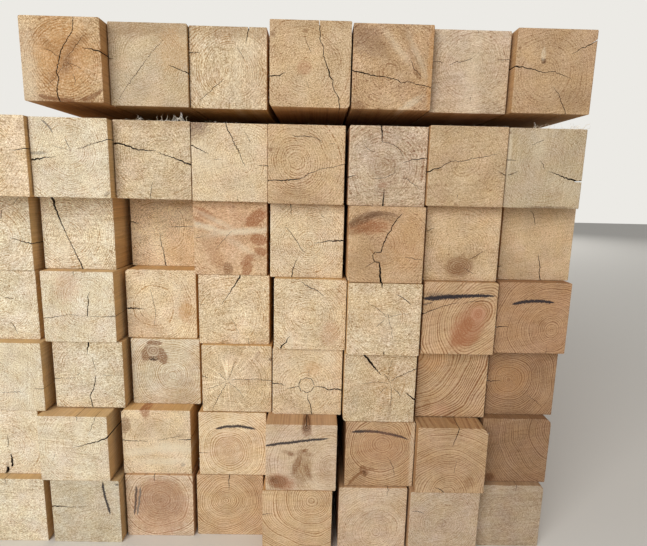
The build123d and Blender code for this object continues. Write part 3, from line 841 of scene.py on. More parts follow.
# %% [markdown]
# The marks on the ends are one of three kinds: a soft-edged stain, a knot with its own
# rings, or a stroke, which is either a band of darker growth or the crayon line that the
# yard draws over a layer. Each is a group that puts out a mask, so that a post's material
# can lay any number of them over the wood, each with its own place and size.

# %% Stain, knot and stroke
PLACED = [("Place", "Vector", (0, 0, 0)), ("Middle", "Vector", (50, 0, 50)),
          ("Half Size", "Vector", (10, 40, 10)), ("Turn", "Float", 0.0), ("Seed", "Float", 0.0)]


def own_frame(w, have):
    """Place measured from a mark's middle and turned; and the same, divided by its half size."""
    rel = w.vector("SUBTRACT", have["Place"], have["Middle"])
    turned = w.node("VectorRotate", rel, (0, 0, 0), (0, 1, 0), have["Turn"], rotation_type="AXIS_ANGLE")
    return turned.outputs[0], w.vector("DIVIDE", turned.outputs[0], have["Half Size"])


def make_stain():
    """A patch with a ragged, streaky edge."""
    tree, w, have, give = shader_group("stain", PLACED + [("Softness", "Float", 0.5)], [("Mask", "Float")])
    turned, unit = own_frame(w, have)
    salt = w.whole(have["Seed"], 0.0, 0.0)
    ragged = w.field(have["Place"], (0.13, 0.02, 0.13), salt, detail=4.0, rough=0.6)
    streaky = w.field(turned, (0.09, 0.02, 0.7), salt, detail=3.0, rough=0.6)
    torn = w.plus(w.times_plus(ragged, 1.0, -0.5), w.times_plus(streaky, 1.5, -0.75))
    how_torn = w.times_plus(have["Softness"], 1.4, 0.35, clamp=True)
    far = w.times_plus(torn, how_torn, w.vector("LENGTH", unit))
    patch = w.ramp(far, w.plus(1.0, have["Softness"]), w.minus(1.0, have["Softness"]))
    grain = w.field(have["Place"], (0.6, 0.1, 0.6), detail=3.0, rough=0.7)
    w.join(w.times(patch, w.ramp(grain, 0.34, 0.58, 0.3, 1.0)), give["Mask"])
    return tree


def make_end_knot():
    """A knot cut across, with rings of its own."""
    takes = PLACED + [("Ring Width", "Float", 2.5)]
    tree, w, have, give = shader_group("end_knot", takes, [("Mask", "Float"), ("Ring", "Float")])
    _, unit = own_frame(w, have)
    wobble = w.field(have["Place"], (0.08, 0.02, 0.08), w.whole(have["Seed"], 0.0, 0.0))
    far = w.plus(w.vector("LENGTH", unit), w.times_plus(wobble, 0.5, -0.25))
    inner = w.math("FRACT", w.over(w.times(far, w.parts(have["Half Size"])[0]), have["Ring Width"]))
    w.join(w.times(w.ramp(inner, 0.2, 0.8), w.ramp(inner, 1.0, 0.88)), give["Ring"])
    w.join(w.ramp(far, 1.15, 0.7), give["Mask"])
    return tree


def make_stroke():
    """A line from one place to another, arched, tapered, shaky and dry."""
    takes = [("Place", "Vector", (0, 0, 0)), ("From", "Vector", (0, 0, 0)), ("To", "Vector", (100, 0, 0)),
             ("Rise", "Float", 0.0), ("Width", "Float", 3.0), ("Width End", "Float", 3.0),
             ("Dryness", "Float", 0.5), ("Seed", "Float", 0.0)]
    tree, w, have, give = shader_group("stroke", takes, [("Mask", "Float")])
    rel = w.vector("SUBTRACT", have["Place"], have["From"])
    span = w.vector("SUBTRACT", have["To"], have["From"])
    way = w.vector("NORMALIZE", span)
    t = w.over(w.vector("DOT_PRODUCT", rel, way), w.vector("LENGTH", span))
    off = w.vector("DOT_PRODUCT", rel, w.vector("CROSS_PRODUCT", way, (0, 1, 0)))
    arch = w.times(w.times(t, w.minus(1.0, t)), w.times(have["Rise"], 4.0))
    shake = w.noise(w.whole(w.times(t, 6.0), have["Seed"], 0.0))
    off = w.plus(w.minus(off, arch), w.times_plus(shake, 2.4, -1.2))
    wide = w.times_plus(t, w.minus(have["Width End"], have["Width"]), have["Width"])
    wide = w.times(wide, w.times(w.ramp(t, 0.0, 0.12, 0.45, 1.0), w.ramp(t, 1.0, 0.85, 0.35, 1.0)))
    near = w.over(w.math("ABSOLUTE", off), w.times(wide, 0.5))
    dry = w.field(have["Place"], (0.55, 0.1, 0.55), detail=4.0, rough=0.75)
    broken = w.times(w.times_plus(dry, 2.4, -1.2), have["Dryness"])
    body = w.ramp(w.plus(near, broken), 1.25, 0.65)
    ends = w.times(w.ramp(t, -0.02, 0.03), w.ramp(t, 1.02, 0.95))
    on_front = w.ramp(w.math("ABSOLUTE", w.parts(have["Place"])[1]), 12.0, 6.0)
    w.join(w.times(w.times(body, ends), on_front), give["Mask"])
    return tree


stain, end_knot, stroke = make_stain(), make_end_knot(), make_stroke()
print("marks:", [(group.name, len(group.nodes)) for group in (stain, end_knot, stroke)])

# %% [markdown]
# The stack is a mix of pale cream, straw, honey, tan and rosy posts. Each tone is one
# family of colours: the light wood of an end, its ring lines, and its sawn side, which is
# browner. A post's marks are read off its end, and a / stands between two. A stain
# has its colour, strength, middle, half size, turn and sometimes its softness. A knot has
# its ring width last. A stroke has the two places it runs between, how far it arches, and
# its width at both. All are in millimetres from the lower left corner, and degrees.

# %% Tones and marks
def linear(red, green, blue):
    """A colour read off as 0 to 255, as the renderer wants it."""
    def one(value):
        value /= 255
        return value / 12.92 if value <= 0.04045 else ((value + 0.055) / 1.055) ** 2.4
    return (one(red), one(green), one(blue), 1.0)


# The sawn side is partly the side's own browner wood and partly painted shade: darker and warmer, as the
# sides look in the shaded gaps between posts
TONES = {                   # light wood, ring lines, sawn side
    "cream": (linear(230, 214, 184), linear(186, 152, 110), linear(200, 165, 116)),
    "straw": (linear(222, 199, 164), linear(176, 138, 94), linear(193, 155, 104)),
    "honey": (linear(212, 182, 143), linear(158, 114, 72), linear(186, 142, 94)),
    "tan": (linear(202, 168, 129), linear(142, 98, 62), linear(182, 142, 98)),
    "rose": (linear(213, 188, 157), linear(158, 116, 84), linear(192, 154, 114)),
    # umber, on (4, 8), (3, 8) and (2, 8), is partly darker wood and partly painted shade, for the lower
    # right of the stack lies in shade
    "umber": (linear(180, 142, 106), linear(128, 90, 62), linear(158, 118, 80)),
}
KNOT_WOOD = linear(128, 82, 48)
# shade is a dull brown: some marks use it for brown stains, others as bands of painted shade along an end's
# edge
PAINTS = {
    "brown": linear(128, 84, 50), "dark_brown": linear(88, 54, 32), "red_brown": linear(158, 98, 60),
    "purple": linear(112, 82, 72), "grey": linear(124, 116, 106), "pink": linear(206, 158, 128),
    "heart": linear(182, 130, 98), "orange": linear(206, 152, 92), "cream": linear(240, 226, 198),
    "crayon": linear(44, 40, 46), "shade": linear(150, 116, 78),
}


def marks(text):
    """Marks from their text; each is a stain unless it says knot or stroke."""
    result = []
    for mark in text.split("/"):
        words = mark.split()
        kind = words.pop(0) if words[0] in ("knot", "stroke") else "stain"
        paint, *values = words
        values = [tuple(map(float, value.split(","))) if "," in value else float(value) for value in values]
        result.append((kind, PAINTS[paint], *values))
    return result


MARKS = {
    (7, 2): marks("""
        orange .7 52,54 36,42 0 .7 / brown .3 55,52 22,14 80 .8 / dark_brown .55 56,46 12,5 75 .7 /
        dark_brown .4 72,72 15,6 40 .8 / dark_brown .3 36,66 14,5 -40 .8 / brown .35 40,30 14,5 50 .8
        / cream .45 6,30 50,12 88 .7 / stroke brown .7 18,7 64,2 -1.5 5 4 / stroke brown .7 72,3 99,16
        -2 6.5 5 / brown .5 60,2 40,3.5 0 .6"""),
    # In (7, 3), (7, 4) and (7, 5) the shade band along the top edge of the end is painted shade
    (7, 3): marks("shade .5 50,97 60,12 0 / grey .15 20,20 28,22 0 / orange .3 82,68 22,25 0"),
    (7, 4): marks("cream .4 62,46 60,7 88 .9 / cream .35 82,46 60,8 92 .9 / shade .45 50,98 60,10 0"),
    (7, 5): marks("""
        brown .6 4,85 3,3 0 / brown .6 44,89 3,3 0 / shade .35 50,99 60,8 0 / knot heart .6 43,47 9,9
        0 3"""),
    (7, 6): marks("""
        purple .45 15,82 24,16 -35 / shade .42 40,68 36,8 -40 .8 / shade .4 72,74 34,5 -58 .8 / cream
        .35 53,76 26,4 -50 .9 / cream .32 80,66 26,3.5 -62 .9 / orange .5 98,50 4,60 0 / brown .65
        81,44 3,8 30 .4 / brown .6 9,4 10,6 -10 .3 / cream .55 75,8 15,4 32 .7"""),
    # The shade band down the left edge of (7, 7) is painted shade
    (7, 7): marks("shade .35 0,50 60,6 90 / cream .3 53,50 55,10 88 .9"),
    (7, 8): marks("""
        dark_brown .9 35,63 3,3 0 / cream .5 34,71 7,3 90 / brown .7 4,77 2,2 0 / shade .3 80,20 25,20
        0"""),
    (6, 1): marks("brown .35 95,88 5,7 0"),
    (6, 2): marks("""
        grey .7 8,55.5 11,2 0 / stroke grey .8 17.5,96 30.4,80.6 1.5 2.4 2 / dark_brown .6 95,6 5,2.5
        50 / brown .6 51,60 1.8,1.8 0"""),
    # The shade band along the top edge of (6, 3) is painted shade
    (6, 3): marks("shade .35 50,98 60,6 0"),
    (6, 4): marks("purple .85 4,98 22,15 20 .7 / cream .4 8,66 14,10 30 .6 / cream .3 22,44 26,10 10 .8"),
    (6, 5): marks("brown .7 3.7,69 2.5,3 0 / knot brown .3 38,2 40,22 0 3.2"),
    (6, 6): marks("red_brown .5 45,27 7,3 0 / grey .16 50,50 50,50 0 / knot brown .4 44,52 20,16 0 4"),
    (6, 7): marks("brown .6 38,3 2,2 0"),
    # On (6, 8) the cream strip down the left edge is a painted highlight, and the dark band along the
    # bottom edge is painted shade of the seam below
    (6, 8): marks("""
        cream .6 1.5,70 3,26 0 / dark_brown .6 62,1 30,2 0 / brown .6 1.4,94.6 1.5,1.5 0 / cream .3
        41,73 26,7 85 .9"""),
    (5, 1): marks("stroke dark_brown .7 64,83 61.6,70.6 0 2.2 1.6"),
    (5, 2): marks("cream .5 30,22 6,20 0"),
    # The shade band along the top edge of (5, 3) is painted shade, under the posts above it
    (5, 3): marks("orange .35 76,25 28,24 0 / shade .4 50,98 60,9 0"),
    (5, 4): marks("""
        pink .45 50,36 60,34 0 .8 / pink .45 50,84 60,20 0 .8 / red_brown .7 17,84 16,6 -30 .22 /
        red_brown .5 10,74 12,4 -30 .3 / red_brown .85 86,80 17,9 35 .2 / red_brown .8 89,51 12,8 -10
        .15 / red_brown .7 92,34 9,6 -20 .18 / red_brown .7 74,22 12,6 45 .2 / brown .75 47,8 10,7 -80
        .2 / red_brown .75 73,8 11,7 70 .2 / red_brown .35 30,24 20,8 -60 .6 / brown .6 55,95 2,2 0 /
        grey .5 6,71 4,2 0 / cream .7 16,67 24,4 -14 .7 / cream .75 74,62 34,4 5 .7 / cream .5 30,76
        24,3.5 -26 .8 / cream .4 40,58 26,4 8 .9 / cream .35 66,40 24,4 -30 .9"""),
    (5, 5): marks("brown .6 89.7,52.3 3,2 0"),
    (5, 6): marks("""
        red_brown .8 26,75 28,9 6 .5 / stroke dark_brown .5 -1,77 68,88 9 8 5 / dark_brown .65 16,81
        22,4 24 .4 / brown .5 14,70 16,4 20 .6 / dark_brown .45 46,88 20,4 -15 .6 / shade .35 30,28
        30,28 0 / orange .25 75,55 25,35 0"""),
    (5, 7): marks("""
        shade .4 50,22 26,20 0 .6 / knot brown .75 48,20 20,16 0 3.2 / brown .5 48,17 10,7 30 .7 /
        shade .4 68,34 14,4 35 .7"""),
    (5, 8): marks("shade .3 20,20 30,20 0"),
    (4, 2): marks("pink .4 35,80 17,22 0"),
    (4, 3): marks("orange .55 85,41 10,14 0 / pink .3 20,20 24,18 0"),
    (4, 5): marks("pink .4 78,22 12,18 0 / cream .5 21,12 6,13 0"),
    (4, 7): marks("""
        knot red_brown .5 66,44 25,40 -30 3 / heart .7 62,38 30,18 55 .3 / red_brown .65 56,33 27,9 58
        .35 / red_brown .5 66,20 14,6 20 .4 / pink .7 76,58 10,10 0 .2 / knot red_brown .6 76,58 7,8 0
        2.4 / crayon .5 22,83 24,4 -4 .8 / stroke crayon .97 -1,78 99,84 1.5 7.5 3.6 / stroke crayon
        .6 0,70 12,73 0 3 2"""),
    (4, 8): marks("stroke crayon .95 20,71 79,74 3.5 4.8 4.4 / brown .4 64,44 5,4 0"),
    (3, 3): marks("""
        brown .85 23,79 8,13 -15 .12 / brown .85 44,76 8,14 25 .12 / brown .85 34,95 12,4 0 .15 /
        cream .75 32,83 9,9 0 .12 / knot brown .75 32,83 9,9 0 3.4 / dark_brown .85 32,71 7,4 0 .15 /
        shade .3 75,20 25,18 30"""),
    (3, 4): marks("cream .3 36,46 14,12 0 .9 / brown .45 80,88.5 3,6 -30 / dark_brown .8 99,81 3,3 0"),
    (3, 5): marks("orange .4 57,70 13,10 0"),
    (3, 6): marks("orange .25 60,60 34,26 0 .9 / brown .35 66,18 12,2.5 90"),
    (4, 6): marks("orange .2 30,66 30,22 0 .9 / cream .4 56,50 16,14 0 .9"),
    (3, 7): marks("knot brown .45 16,18 6,10 0 2.5 / pink .4 35,11 12,9 0 / orange .35 15,88 20,16 0"),
    (3, 8): marks("orange .25 31,54 26,26 0 / brown .6 31.4,53.9 2.2,2.2 0"),
    (2, 1): marks("dark_brown .5 50,10 3,8 0"),
    (2, 2): marks("cream .6 59,79 7,12 0"),
    (2, 3): marks("""
        red_brown .8 35,99 7,10 0 .3 / brown .7 5,78 8,12 0 .3 / cream .9 74,42 30,8 -4 .6 / cream .8
        25,36 26,6 6 .6 / cream .7 60,20 34,5 0 .7 / shade .3 40,70 44,14 0 .8 / brown .35 86,62.5 6,3
        0 / grey .5 88,15 3,3 0"""),
    (2, 4): marks("stroke crayon .92 25,74 84,74 4.5 4.2 4.4 / heart .35 43,39 26,24 0"),
    (2, 5): marks("""
        brown .7 57,94 12,7 90 .35 / knot dark_brown .8 57,98 7,8 0 2.6 / stroke crayon .92 -1,68.7
        89,81.3 .6 4.2 3.6 / brown .55 32,59 9,3 -10 .7 / brown .6 50,60 7,3.5 20 .7 / brown .5 62,56
        7,3 0 .7 / shade .75 52,34 24,13 80 .4 / brown .6 44,40 16,5 70 .3 / brown .6 60,30 13,4 -70
        .3 / red_brown .75 22,13 20,11 -20 .3 / brown .7 36,56 5,3 -10 .2 / brown .7 56,62 5,2.5 20 .2
        / knot brown .8 17,12 14,11 0 3 / dark_brown .5 12,16 8,4 -30 .6 / shade .45 86,30 10,20 0 .8"""),
    (2, 6): marks("""
        stroke crayon .92 8.3,84.6 90,74 5.2 4.8 3.6 / heart .4 50,62 34,26 0 .4 / stroke brown .8 6,1
        28,24 2 4.4 4 / brown .85 28,24 6,9 25 .15 / dark_brown .75 29,20 2.5,5 20 .2 / brown .6 38,27
        6,3 0 .3 / shade .5 20,8 16,8 30 .6 / cream .45 97,50 56,4 90 .6"""),
    (2, 7): marks("brown .55 77,17 8,9 0"),
    (2, 8): marks("brown .7 16,8 8,7 0 .35 / knot dark_brown .7 16,7.5 7,6 0 2.4"),
    (1, 2): marks("stroke crayon .92 76,98.4 84.7,46 -1.5 3.8 3.4 / crayon .8 96,94.5 3,1.6 0"),
    (1, 3): marks("""
        heart .5 52,48 43,47 0 .12 / knot brown .4 50,60 38,38 0 3.3 / brown .4 50,60 4,3 0 / stroke
        crayon .75 16,83 11,34 .5 3.4 3 / stroke grey .85 22.3,81 15,34 .5 3 2.6"""),
}
print(sum(len(listed) for listed in MARKS.values()), "marks on", len(MARKS), "posts")

# %% [markdown]
# Each post gets one material: the solid wood in its own tone, then its marks, one over the
# other. The wood's bump is shallow, because the real depth is in the mesh.

# %% A post's material
RINGS_SHOWN = 1.4           # the rings' contrast on the wood, for one that looks 1 in the picture
SHADE_POWER = 2.2           # from a shade as the eye sees it to the renderer's
STAIN_SOFTNESS, STROKE_DRYNESS = 0.45, 1.4
KNOT_RINGS, MARK_DEPTH = 0.6, 40            # how much of a knot is in its rings; mm
FEW_RAYS = 0.05
SAW_LEANS = (-6, 20)        # degrees that the saw's way may lie off the level
BUMP_STRENGTH = 0.6
POST_BUMP, BATTEN_BUMP = 0.0011, 0.0009     # metres


def new_material(name, roughness=None, tone=None):
    """A material, its wiring and its shader's inputs."""
    material = bpy.data.materials.new(name)
    material.use_nodes = True
    shader = material.node_tree.nodes["Principled BSDF"].inputs
    if roughness is not None:
        shader["Roughness"].default_value = roughness
    if tone is not None:
        shader["Base Color"].default_value = tone
    return material, Wiring(material.node_tree), shader


def dress_in_wood(w, shader, colour, wood, bump_depth):
    """Send the wood's colour, roughness and height to the shader."""
    w.join(colour, shader["Base Color"])
    w.join(wood["Roughness"], shader["Roughness"])
    bump = w.add("ShaderNodeBump", Strength=BUMP_STRENGTH, Distance=bump_depth, Height=wood["Height"])
    w.join(bump[0], shader["Normal"])


def lay_mark(w, colour, place, random, kind, paint, strength, values):
    """One mark over a colour."""
    if kind == "stroke":
        start, finish, rise, width, width_end = values
        mask = w.group(stroke, Place=place, From=(start[0], 0, start[1]), To=(finish[0], 0, finish[1]),
                       Rise=rise, Width=width, Width_End=width_end, Dryness=STROKE_DRYNESS,
                       Seed=random.uniform(0, 50))["Mask"]
        return w.mix(w.times(mask, strength), colour, paint)
    middle, half, turn, *more = values
    given = dict(Place=place, Middle=(middle[0], 0, middle[1]), Turn=math.radians(turn),
                 Half_Size=(half[0], MARK_DEPTH + half[0], half[1]), Seed=random.uniform(0, 50))
    if kind == "stain":
        mask = w.group(stain, Softness=more[0] if more else STAIN_SOFTNESS, **given)["Mask"]
        return w.mix(w.times(mask, strength), colour, paint)
    knot = w.group(end_knot, Ring_Width=more[0], **given)
    ringed = w.times_plus(knot["Ring"], KNOT_RINGS * strength, (1 - KNOT_RINGS) * strength)
    return w.mix(w.times(knot["Mask"], ringed), colour, paint)


def post_material(name, layer, number, low, high):
    """The finish of one post, with its corner as the pattern's own zero."""
    post = POSTS[(layer, number)]
    random = np.random.default_rng(70 * layer + number)
    material, w, shader = new_material(name)
    where = w.add("ShaderNodeTexCoord")
    place = w.node("Mapping", where["Object"], tuple(-low), (0, 0, 0), (1 / MM,) * 3).outputs[0]
    pith, length = post["pith"], high[1] - low[1]
    shade = post.get("shade", 1) ** SHADE_POWER
    light, line, side = (tuple(c * shade for c in tone[:3]) + (1,) for tone in TONES[post["tone"]])
    oval, oval_angle = post.get("oval", (0, 0))
    drift = ((100 - 2 * pith[0]) / length, 0, (100 - 2 * pith[1]) / length)
    wood = w.group(sawn_wood, Place=place, Normal=where["Normal"], Pith=(pith[0], 0, pith[1]), Drift=drift,
                   Ring_Width=post["ring"], Ring_Contrast=post["contrast"] * RINGS_SHOWN,
                   Rays=post.get("rays", FEW_RAYS), Oval=oval, Oval_Angle=math.radians(oval_angle),
                   Smooth_Cut=post.get("smooth", 0),
                   Saw_Angle=math.radians(post.get("saw", random.uniform(*SAW_LEANS))),
                   Seed=random.uniform(0, 90), Light_Wood=light, Ring_Wood=line, Side_Wood=side,
                   Knot_Wood=KNOT_WOOD)
    colour = wood["Colour"]
    for kind, paint, strength, *values in MARKS.get((layer, number), []):
        colour = lay_mark(w, colour, place, random, kind, paint, strength, values)
    dress_in_wood(w, shader, colour, wood, POST_BUMP)
    shader["Specular IOR Level"].default_value = 0.25
    return material


def speckled_material(name, roughness, fineness, low, high, dark, light, **more):
    """A plain finish in two tones that change from speck to speck."""
    material, w, shader = new_material(name, roughness)
    tone = w.field(w.add("ShaderNodeTexCoord")["Object"], fineness, **more)
    w.join(w.mix(w.ramp(tone, low, high), dark, light), shader["Base Color"])
    return material


# The walls inside a check are painted dark brown in specks: painted shade for the deep, narrow cleft
check_wall = speckled_material("check_wall", 0.9, (400, 30, 400), 0.35, 0.7, linear(44, 27, 15),
                             linear(86, 56, 33), detail=3.0)
print("check_wall:", len(check_wall.node_tree.nodes), "nodes")

# %% [markdown] So that the finishes can be baked to pictures, each post brings its own
# map: the four sides lie as long strips, squeezed lengthwise, and the two
# ends, which carry the detail, get large squares.

# %% Lay out a map
STRIP, END_SQUARE, MARGIN = 0.125, 0.44, 0.006      # shares of the map's width
ON_END = 0.6                # how squarely a face must look along the post to belong to an end


def read(items, name, width=1, kind=float):
    """One value of every item of a mesh, as an array."""
    values = np.empty(len(items) * width, dtype=kind)
    items.foreach_get(name, values)
    return values.reshape(-1, width) if width > 1 else values


def lay_out_map(mesh, low, high, x=0, y=1, z=2):
    """Write the map of a post or a batten that runs along axis y: four strips and two end squares."""
    low, high = np.array(low) * MM, np.array(high) * MM
    normals, centres = read(mesh.polygons, "normal", 3), read(mesh.polygons, "center", 3)
    facing = np.abs(normals)
    on_end = (facing[:, y] > ON_END) | (read(mesh.polygons, "material_index", kind=np.int32) > 0)
    at_far = centres[:, y] > (low[y] + high[y]) / 2
    upright, flat = np.where(normals[:, x] > 0, 0, 1), np.where(normals[:, z] > 0, 2, 3)
    region = np.where(facing[:, x] > facing[:, z], upright, flat)
    region = np.where(on_end, np.where(at_far, 5, 4), region)
    region = np.repeat(region, read(mesh.polygons, "loop_total", kind=np.int32))
    place = read(mesh.vertices, "co", 3)[read(mesh.loops, "vertex_index", kind=np.int32)]
    share = np.clip((place - low) / (high - low), 0, 1)
    uv = np.empty((len(mesh.loops), 2))
    for strip, other in ((0, z), (1, z), (2, x), (3, x)):
        here = region == strip
        uv[here, 0] = MARGIN + share[here, y] * (1 - 2 * MARGIN)
        uv[here, 1] = MARGIN + strip * (STRIP + MARGIN) + share[here, other] * STRIP
    for corner, which in ((4, 0), (5, 1)):
        here = region == corner
        uv[here, 0] = MARGIN + which * (END_SQUARE + 2 * MARGIN) + share[here, x] * END_SQUARE
        uv[here, 1] = 1 - MARGIN - END_SQUARE + share[here, z] * END_SQUARE
    mesh.uv_layers.new(name="OFBake").data.foreach_set("uv", uv.ravel())


print("an end takes", END_SQUARE, "of the map's width, and a side a strip of", STRIP)

# %% [markdown]
# Now the posts are made one by one: the skin, its material, the checks cut out of it, and
# its map. Each takes the place of its own solid and is named for its layer and number.

# %% Make the posts
face_count = 0
for layer, number in POSTS:
    low, high = post_box(layer, number)
    name = f"post_{layer}_{number}"
    mesh = post_skin(name, low, high, WANE.get((layer, number)), seed=layer * 10 + number)
    mesh.materials.append(post_material(f"wood_{layer}_{number}", layer, number, low, high))
    piece = set_up(name, mesh)
    if POSTS[(layer, number)]["checks"]:
        cut(piece, checks_cutter(layer, number, low, high, check_wall))
    lay_out_map(piece.data, low, high)
    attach(piece, "root")
    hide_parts(f"layer{layer}_post{number}")
    face_count += len(piece.data.polygons)
print(len(POSTS), "posts,", face_count, "faces")

# %% [markdown]
# Three battens keep the top layer a little off the sixth, as is often done to let air
# through. They are offcuts of the same wood, sawn thin, and hardly show: from the front
# there is only the dark gap that they leave.

# %% Battens
BATTENS = (1, 2, 3)


def batten_material(index, low, high):
    """The posts' wood, turned a quarter round."""
    material, w, shader = new_material(f"batten_wood_{index}")
    where = w.add("ShaderNodeTexCoord")
    place = w.node("Mapping", where["Object"], (-low[1], high[0], -low[2]), (0, 0, math.radians(-90)),
                   (1 / MM,) * 3).outputs[0]
    along, across, upward = w.parts(where["Normal"])
    light, line, side = TONES["tan"]
    wood = w.group(sawn_wood, Place=place, Normal=w.whole(across, along, upward), Pith=(20.0, 0, -30.0),
                   Drift=(0.01, 0, 0.004), Ring_Width=3.0, Ring_Contrast=0.5, Rays=FEW_RAYS, Saw_Angle=0.3,
                   Seed=11.0 + index, Light_Wood=light, Ring_Wood=line, Side_Wood=side, Knot_Wood=KNOT_WOOD)
    dress_in_wood(w, shader, wood["Colour"], wood, BATTEN_BUMP)
    return material


for index in BATTENS:
    low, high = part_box(f"batten_{index}")
    low, high = np.array(low) / MM, np.array(high) / MM
    mesh = post_skin(f"spacer_{index}", low[[1, 0, 2]], high[[1, 0, 2]], seed=200 + index)
    for vertex in mesh.vertices:
        vertex.co = Vector((vertex.co.y, vertex.co.x, vertex.co.z))
    mesh.flip_normals()
    mesh.materials.append(batten_material(index, low, high))
    piece = set_up(f"spacer_{index}", mesh)
    lay_out_map(mesh, low, high, x=1, y=0)
    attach(piece, "root")
    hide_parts(f"batten_{index}")

# %% [markdown]
# Where the cross-cut saw left an arris it tore the last fibres out, and they stand off it
# as whiskers: short ones here and there on every post, and longer tufts on the upper
# arrises of the sixth layer, whose tops stand free in the gap. Geometry Nodes plant them:
# points along the arrises, one bent sliver on each, turned and sized at random.

# %% Slivers along the arrises
TUFTS = {                   # millimetres along the upper arris, and how thickly and long the fibres stand
    (6, 1): [(60, 95, .4, 4)], (6, 2): [(30, 70, .5, 4)],
    (6, 3): [(6, 17, .6, 2.5), (17, 28, .5, 4), (29, 38, .8, 12), (41, 49, .4, 5), (56, 72, .6, 10),
             (73, 84, .8, 12), (88, 98, .8, 13)],
    (6, 4): [(10, 60, .5, 4)],
    (6, 5): [(40, 95, .3, 3)], (6, 6): [(20, 60, .3, 3)], (6, 7): [(10, 95, .2, 4)],
    (6, 8): [(30, 60, .8, 8), (68, 99, 1.1, 12)],
}
WHISKERS_PER_METRE, WHISKER = 120, 2.4
WHISKER_SIZES, TUFT_SIZES = (0.3, 1.2), (0.25, 1.0)     # shares of the full length
LEAN_VARIES, LEAN_ASIDE = 0.45, 0.6
FIBRE_SEED, SPIN_SEED = 5, 7
BEHIND_END, BELOW_FACE = 0.4, 0.5                       # mm that a root sits inside the wood
CLEAR_OF_CORNER = 2                                     # mm that a root keeps from a corner
BOX_ROOM = 0.4              # mm that a sliver's tip stays inside the stack's box
SLIVER_THICK = 0.026        # its half thickness, as a share of its length
SLIVER_RINGS = ((0, 1.0, 0, 0), (0.3, 1.0, 0.12, 0.06), (0.6, 0.9, 0.34, -0.06),
                (0.75, 0.8, 0.56, 0.08))                # how high, how thick, and how far it leans
SLIVER_TIP = (0.78, 0.2, 0.78)
SLIVER_CORNERS = (0, 2.1, 4.2)                          # radians round its middle


def make_sliver():
    """A bent, tapered splinter, one unit long, standing up along Z."""
    body = bmesh.new()
    rings = []
    for share, wide, lean, aside in SLIVER_RINGS:
        thick = SLIVER_THICK * wide
        rings.append([body.verts.new((thick * math.cos(a) + lean, thick * math.sin(a) + aside, share))
                      for a in SLIVER_CORNERS])
    tip = body.verts.new(SLIVER_TIP)
    body.faces.new(rings[0][::-1])
    join_rings(body, rings)
    for j in range(3):
        body.faces.new((rings[-1][j], rings[-1][(j + 1) % 3], tip))
    mesh = bpy.data.meshes.new("sliver")
    body.to_mesh(mesh)
    body.free()
    return set_up("sliver", mesh)


def make_sliver_tree(sliver, material):
    """Slivers on points: each point's own Lean says which way, and Size how long."""
    tree = bpy.data.node_groups.new("torn_fibres", "GeometryNodeTree")
    w = Wiring(tree)
    identifiers = {}
    takes = (("Geometry", "Geometry"), ("Seed", "Int"), ("Lowest", "Vector"), ("Highest", "Vector"))
    for label, kind in takes:
        socket = tree.interface.new_socket(label, in_out="INPUT", socket_type="NodeSocket" + kind)
        identifiers[label] = socket.identifier
    tree.interface.new_socket("Geometry", in_out="OUTPUT", socket_type="NodeSocketGeometry")
    have, give = tree.nodes.new("NodeGroupInput").outputs, tree.nodes.new("NodeGroupOutput").inputs

    lean = w.add("GeometryNodeInputNamedAttribute", {"data_type": "FLOAT_VECTOR"}, Name="Lean")["Attribute"]
    size = w.add("GeometryNodeInputNamedAttribute", {"data_type": "FLOAT"}, Name="Size")["Attribute"]
    aim = w.add("FunctionNodeAlignRotationToVector", {"axis": "Z"}, Vector=lean)[0]
    any_turn = w.add("FunctionNodeRandomValue", {"data_type": "FLOAT"}, Max=2 * math.pi,
                     Seed=have["Seed"])[1]
    spin = w.add("FunctionNodeAxisAngleToRotation", Axis=(0, 0, 1), Angle=any_turn)[0]
    turn = w.add("FunctionNodeRotateRotation", {"rotation_space": "LOCAL"}, Rotation=aim, Rotate_By=spin)[0]
    points = w.add("GeometryNodeMeshToPoints", Mesh=have["Geometry"])["Points"]
    shape = w.add("GeometryNodeObjectInfo", Object=sliver)["Geometry"]
    stood = w.add("GeometryNodeInstanceOnPoints", Points=points, Instance=shape, Rotation=turn,
                  Scale=size)
    real = w.add("GeometryNodeRealizeInstances", Geometry=stood[0])[0]
    place = w.add("GeometryNodeInputPosition")[0]
    inside = w.vector("MINIMUM", w.vector("MAXIMUM", place, have["Lowest"]), have["Highest"])
    kept = w.add("GeometryNodeSetPosition", Geometry=real, Position=inside)[0]
    finished = w.add("GeometryNodeSetMaterial", Geometry=kept, Material=material)[0]
    w.join(finished, give["Geometry"])
    return tree, identifiers


def planted(name, spots, leans, sizes, material):
    """Plant slivers and give back a plain mesh object."""
    mesh = bpy.data.meshes.new(name)
    mesh.from_pydata(spots, [], [])
    mesh.attributes.new("Lean", "FLOAT_VECTOR", "POINT").data.foreach_set("vector", np.array(leans).ravel())
    mesh.attributes.new("Size", "FLOAT", "POINT").data.foreach_set("value", np.array(sizes))
    piece = set_up(name, mesh)
    sliver = make_sliver()
    modifier = piece.modifiers.new("torn fibres", "NODES")
    modifier.node_group, identifiers = make_sliver_tree(sliver, material)
    room = Vector((BOX_ROOM * MM,) * 3)
    modifier[identifiers["Seed"]] = SPIN_SEED
    modifier[identifiers["Lowest"]] = tuple(Vector(cad_low) + room)
    modifier[identifiers["Highest"]] = tuple(Vector(cad_high) - room)
    result = evaluated_mesh(piece)
    piece.modifiers.clear()
    piece.data = result
    bpy.data.meshes.remove(mesh)
    bpy.data.objects.remove(sliver)
    return piece


def end_arrises(low, high):
    """The four arrises of both ends: (y, the way out, axis of the face, its side, its place)."""
    for y, out in ((low[1] + BEHIND_END, -0.4), (high[1] - BEHIND_END, 0.4)):
        for axis in (0, 2):
            yield y, out, axis, -1, low[axis] + BELOW_FACE
            yield y, out, axis, 1, high[axis] - BELOW_FACE


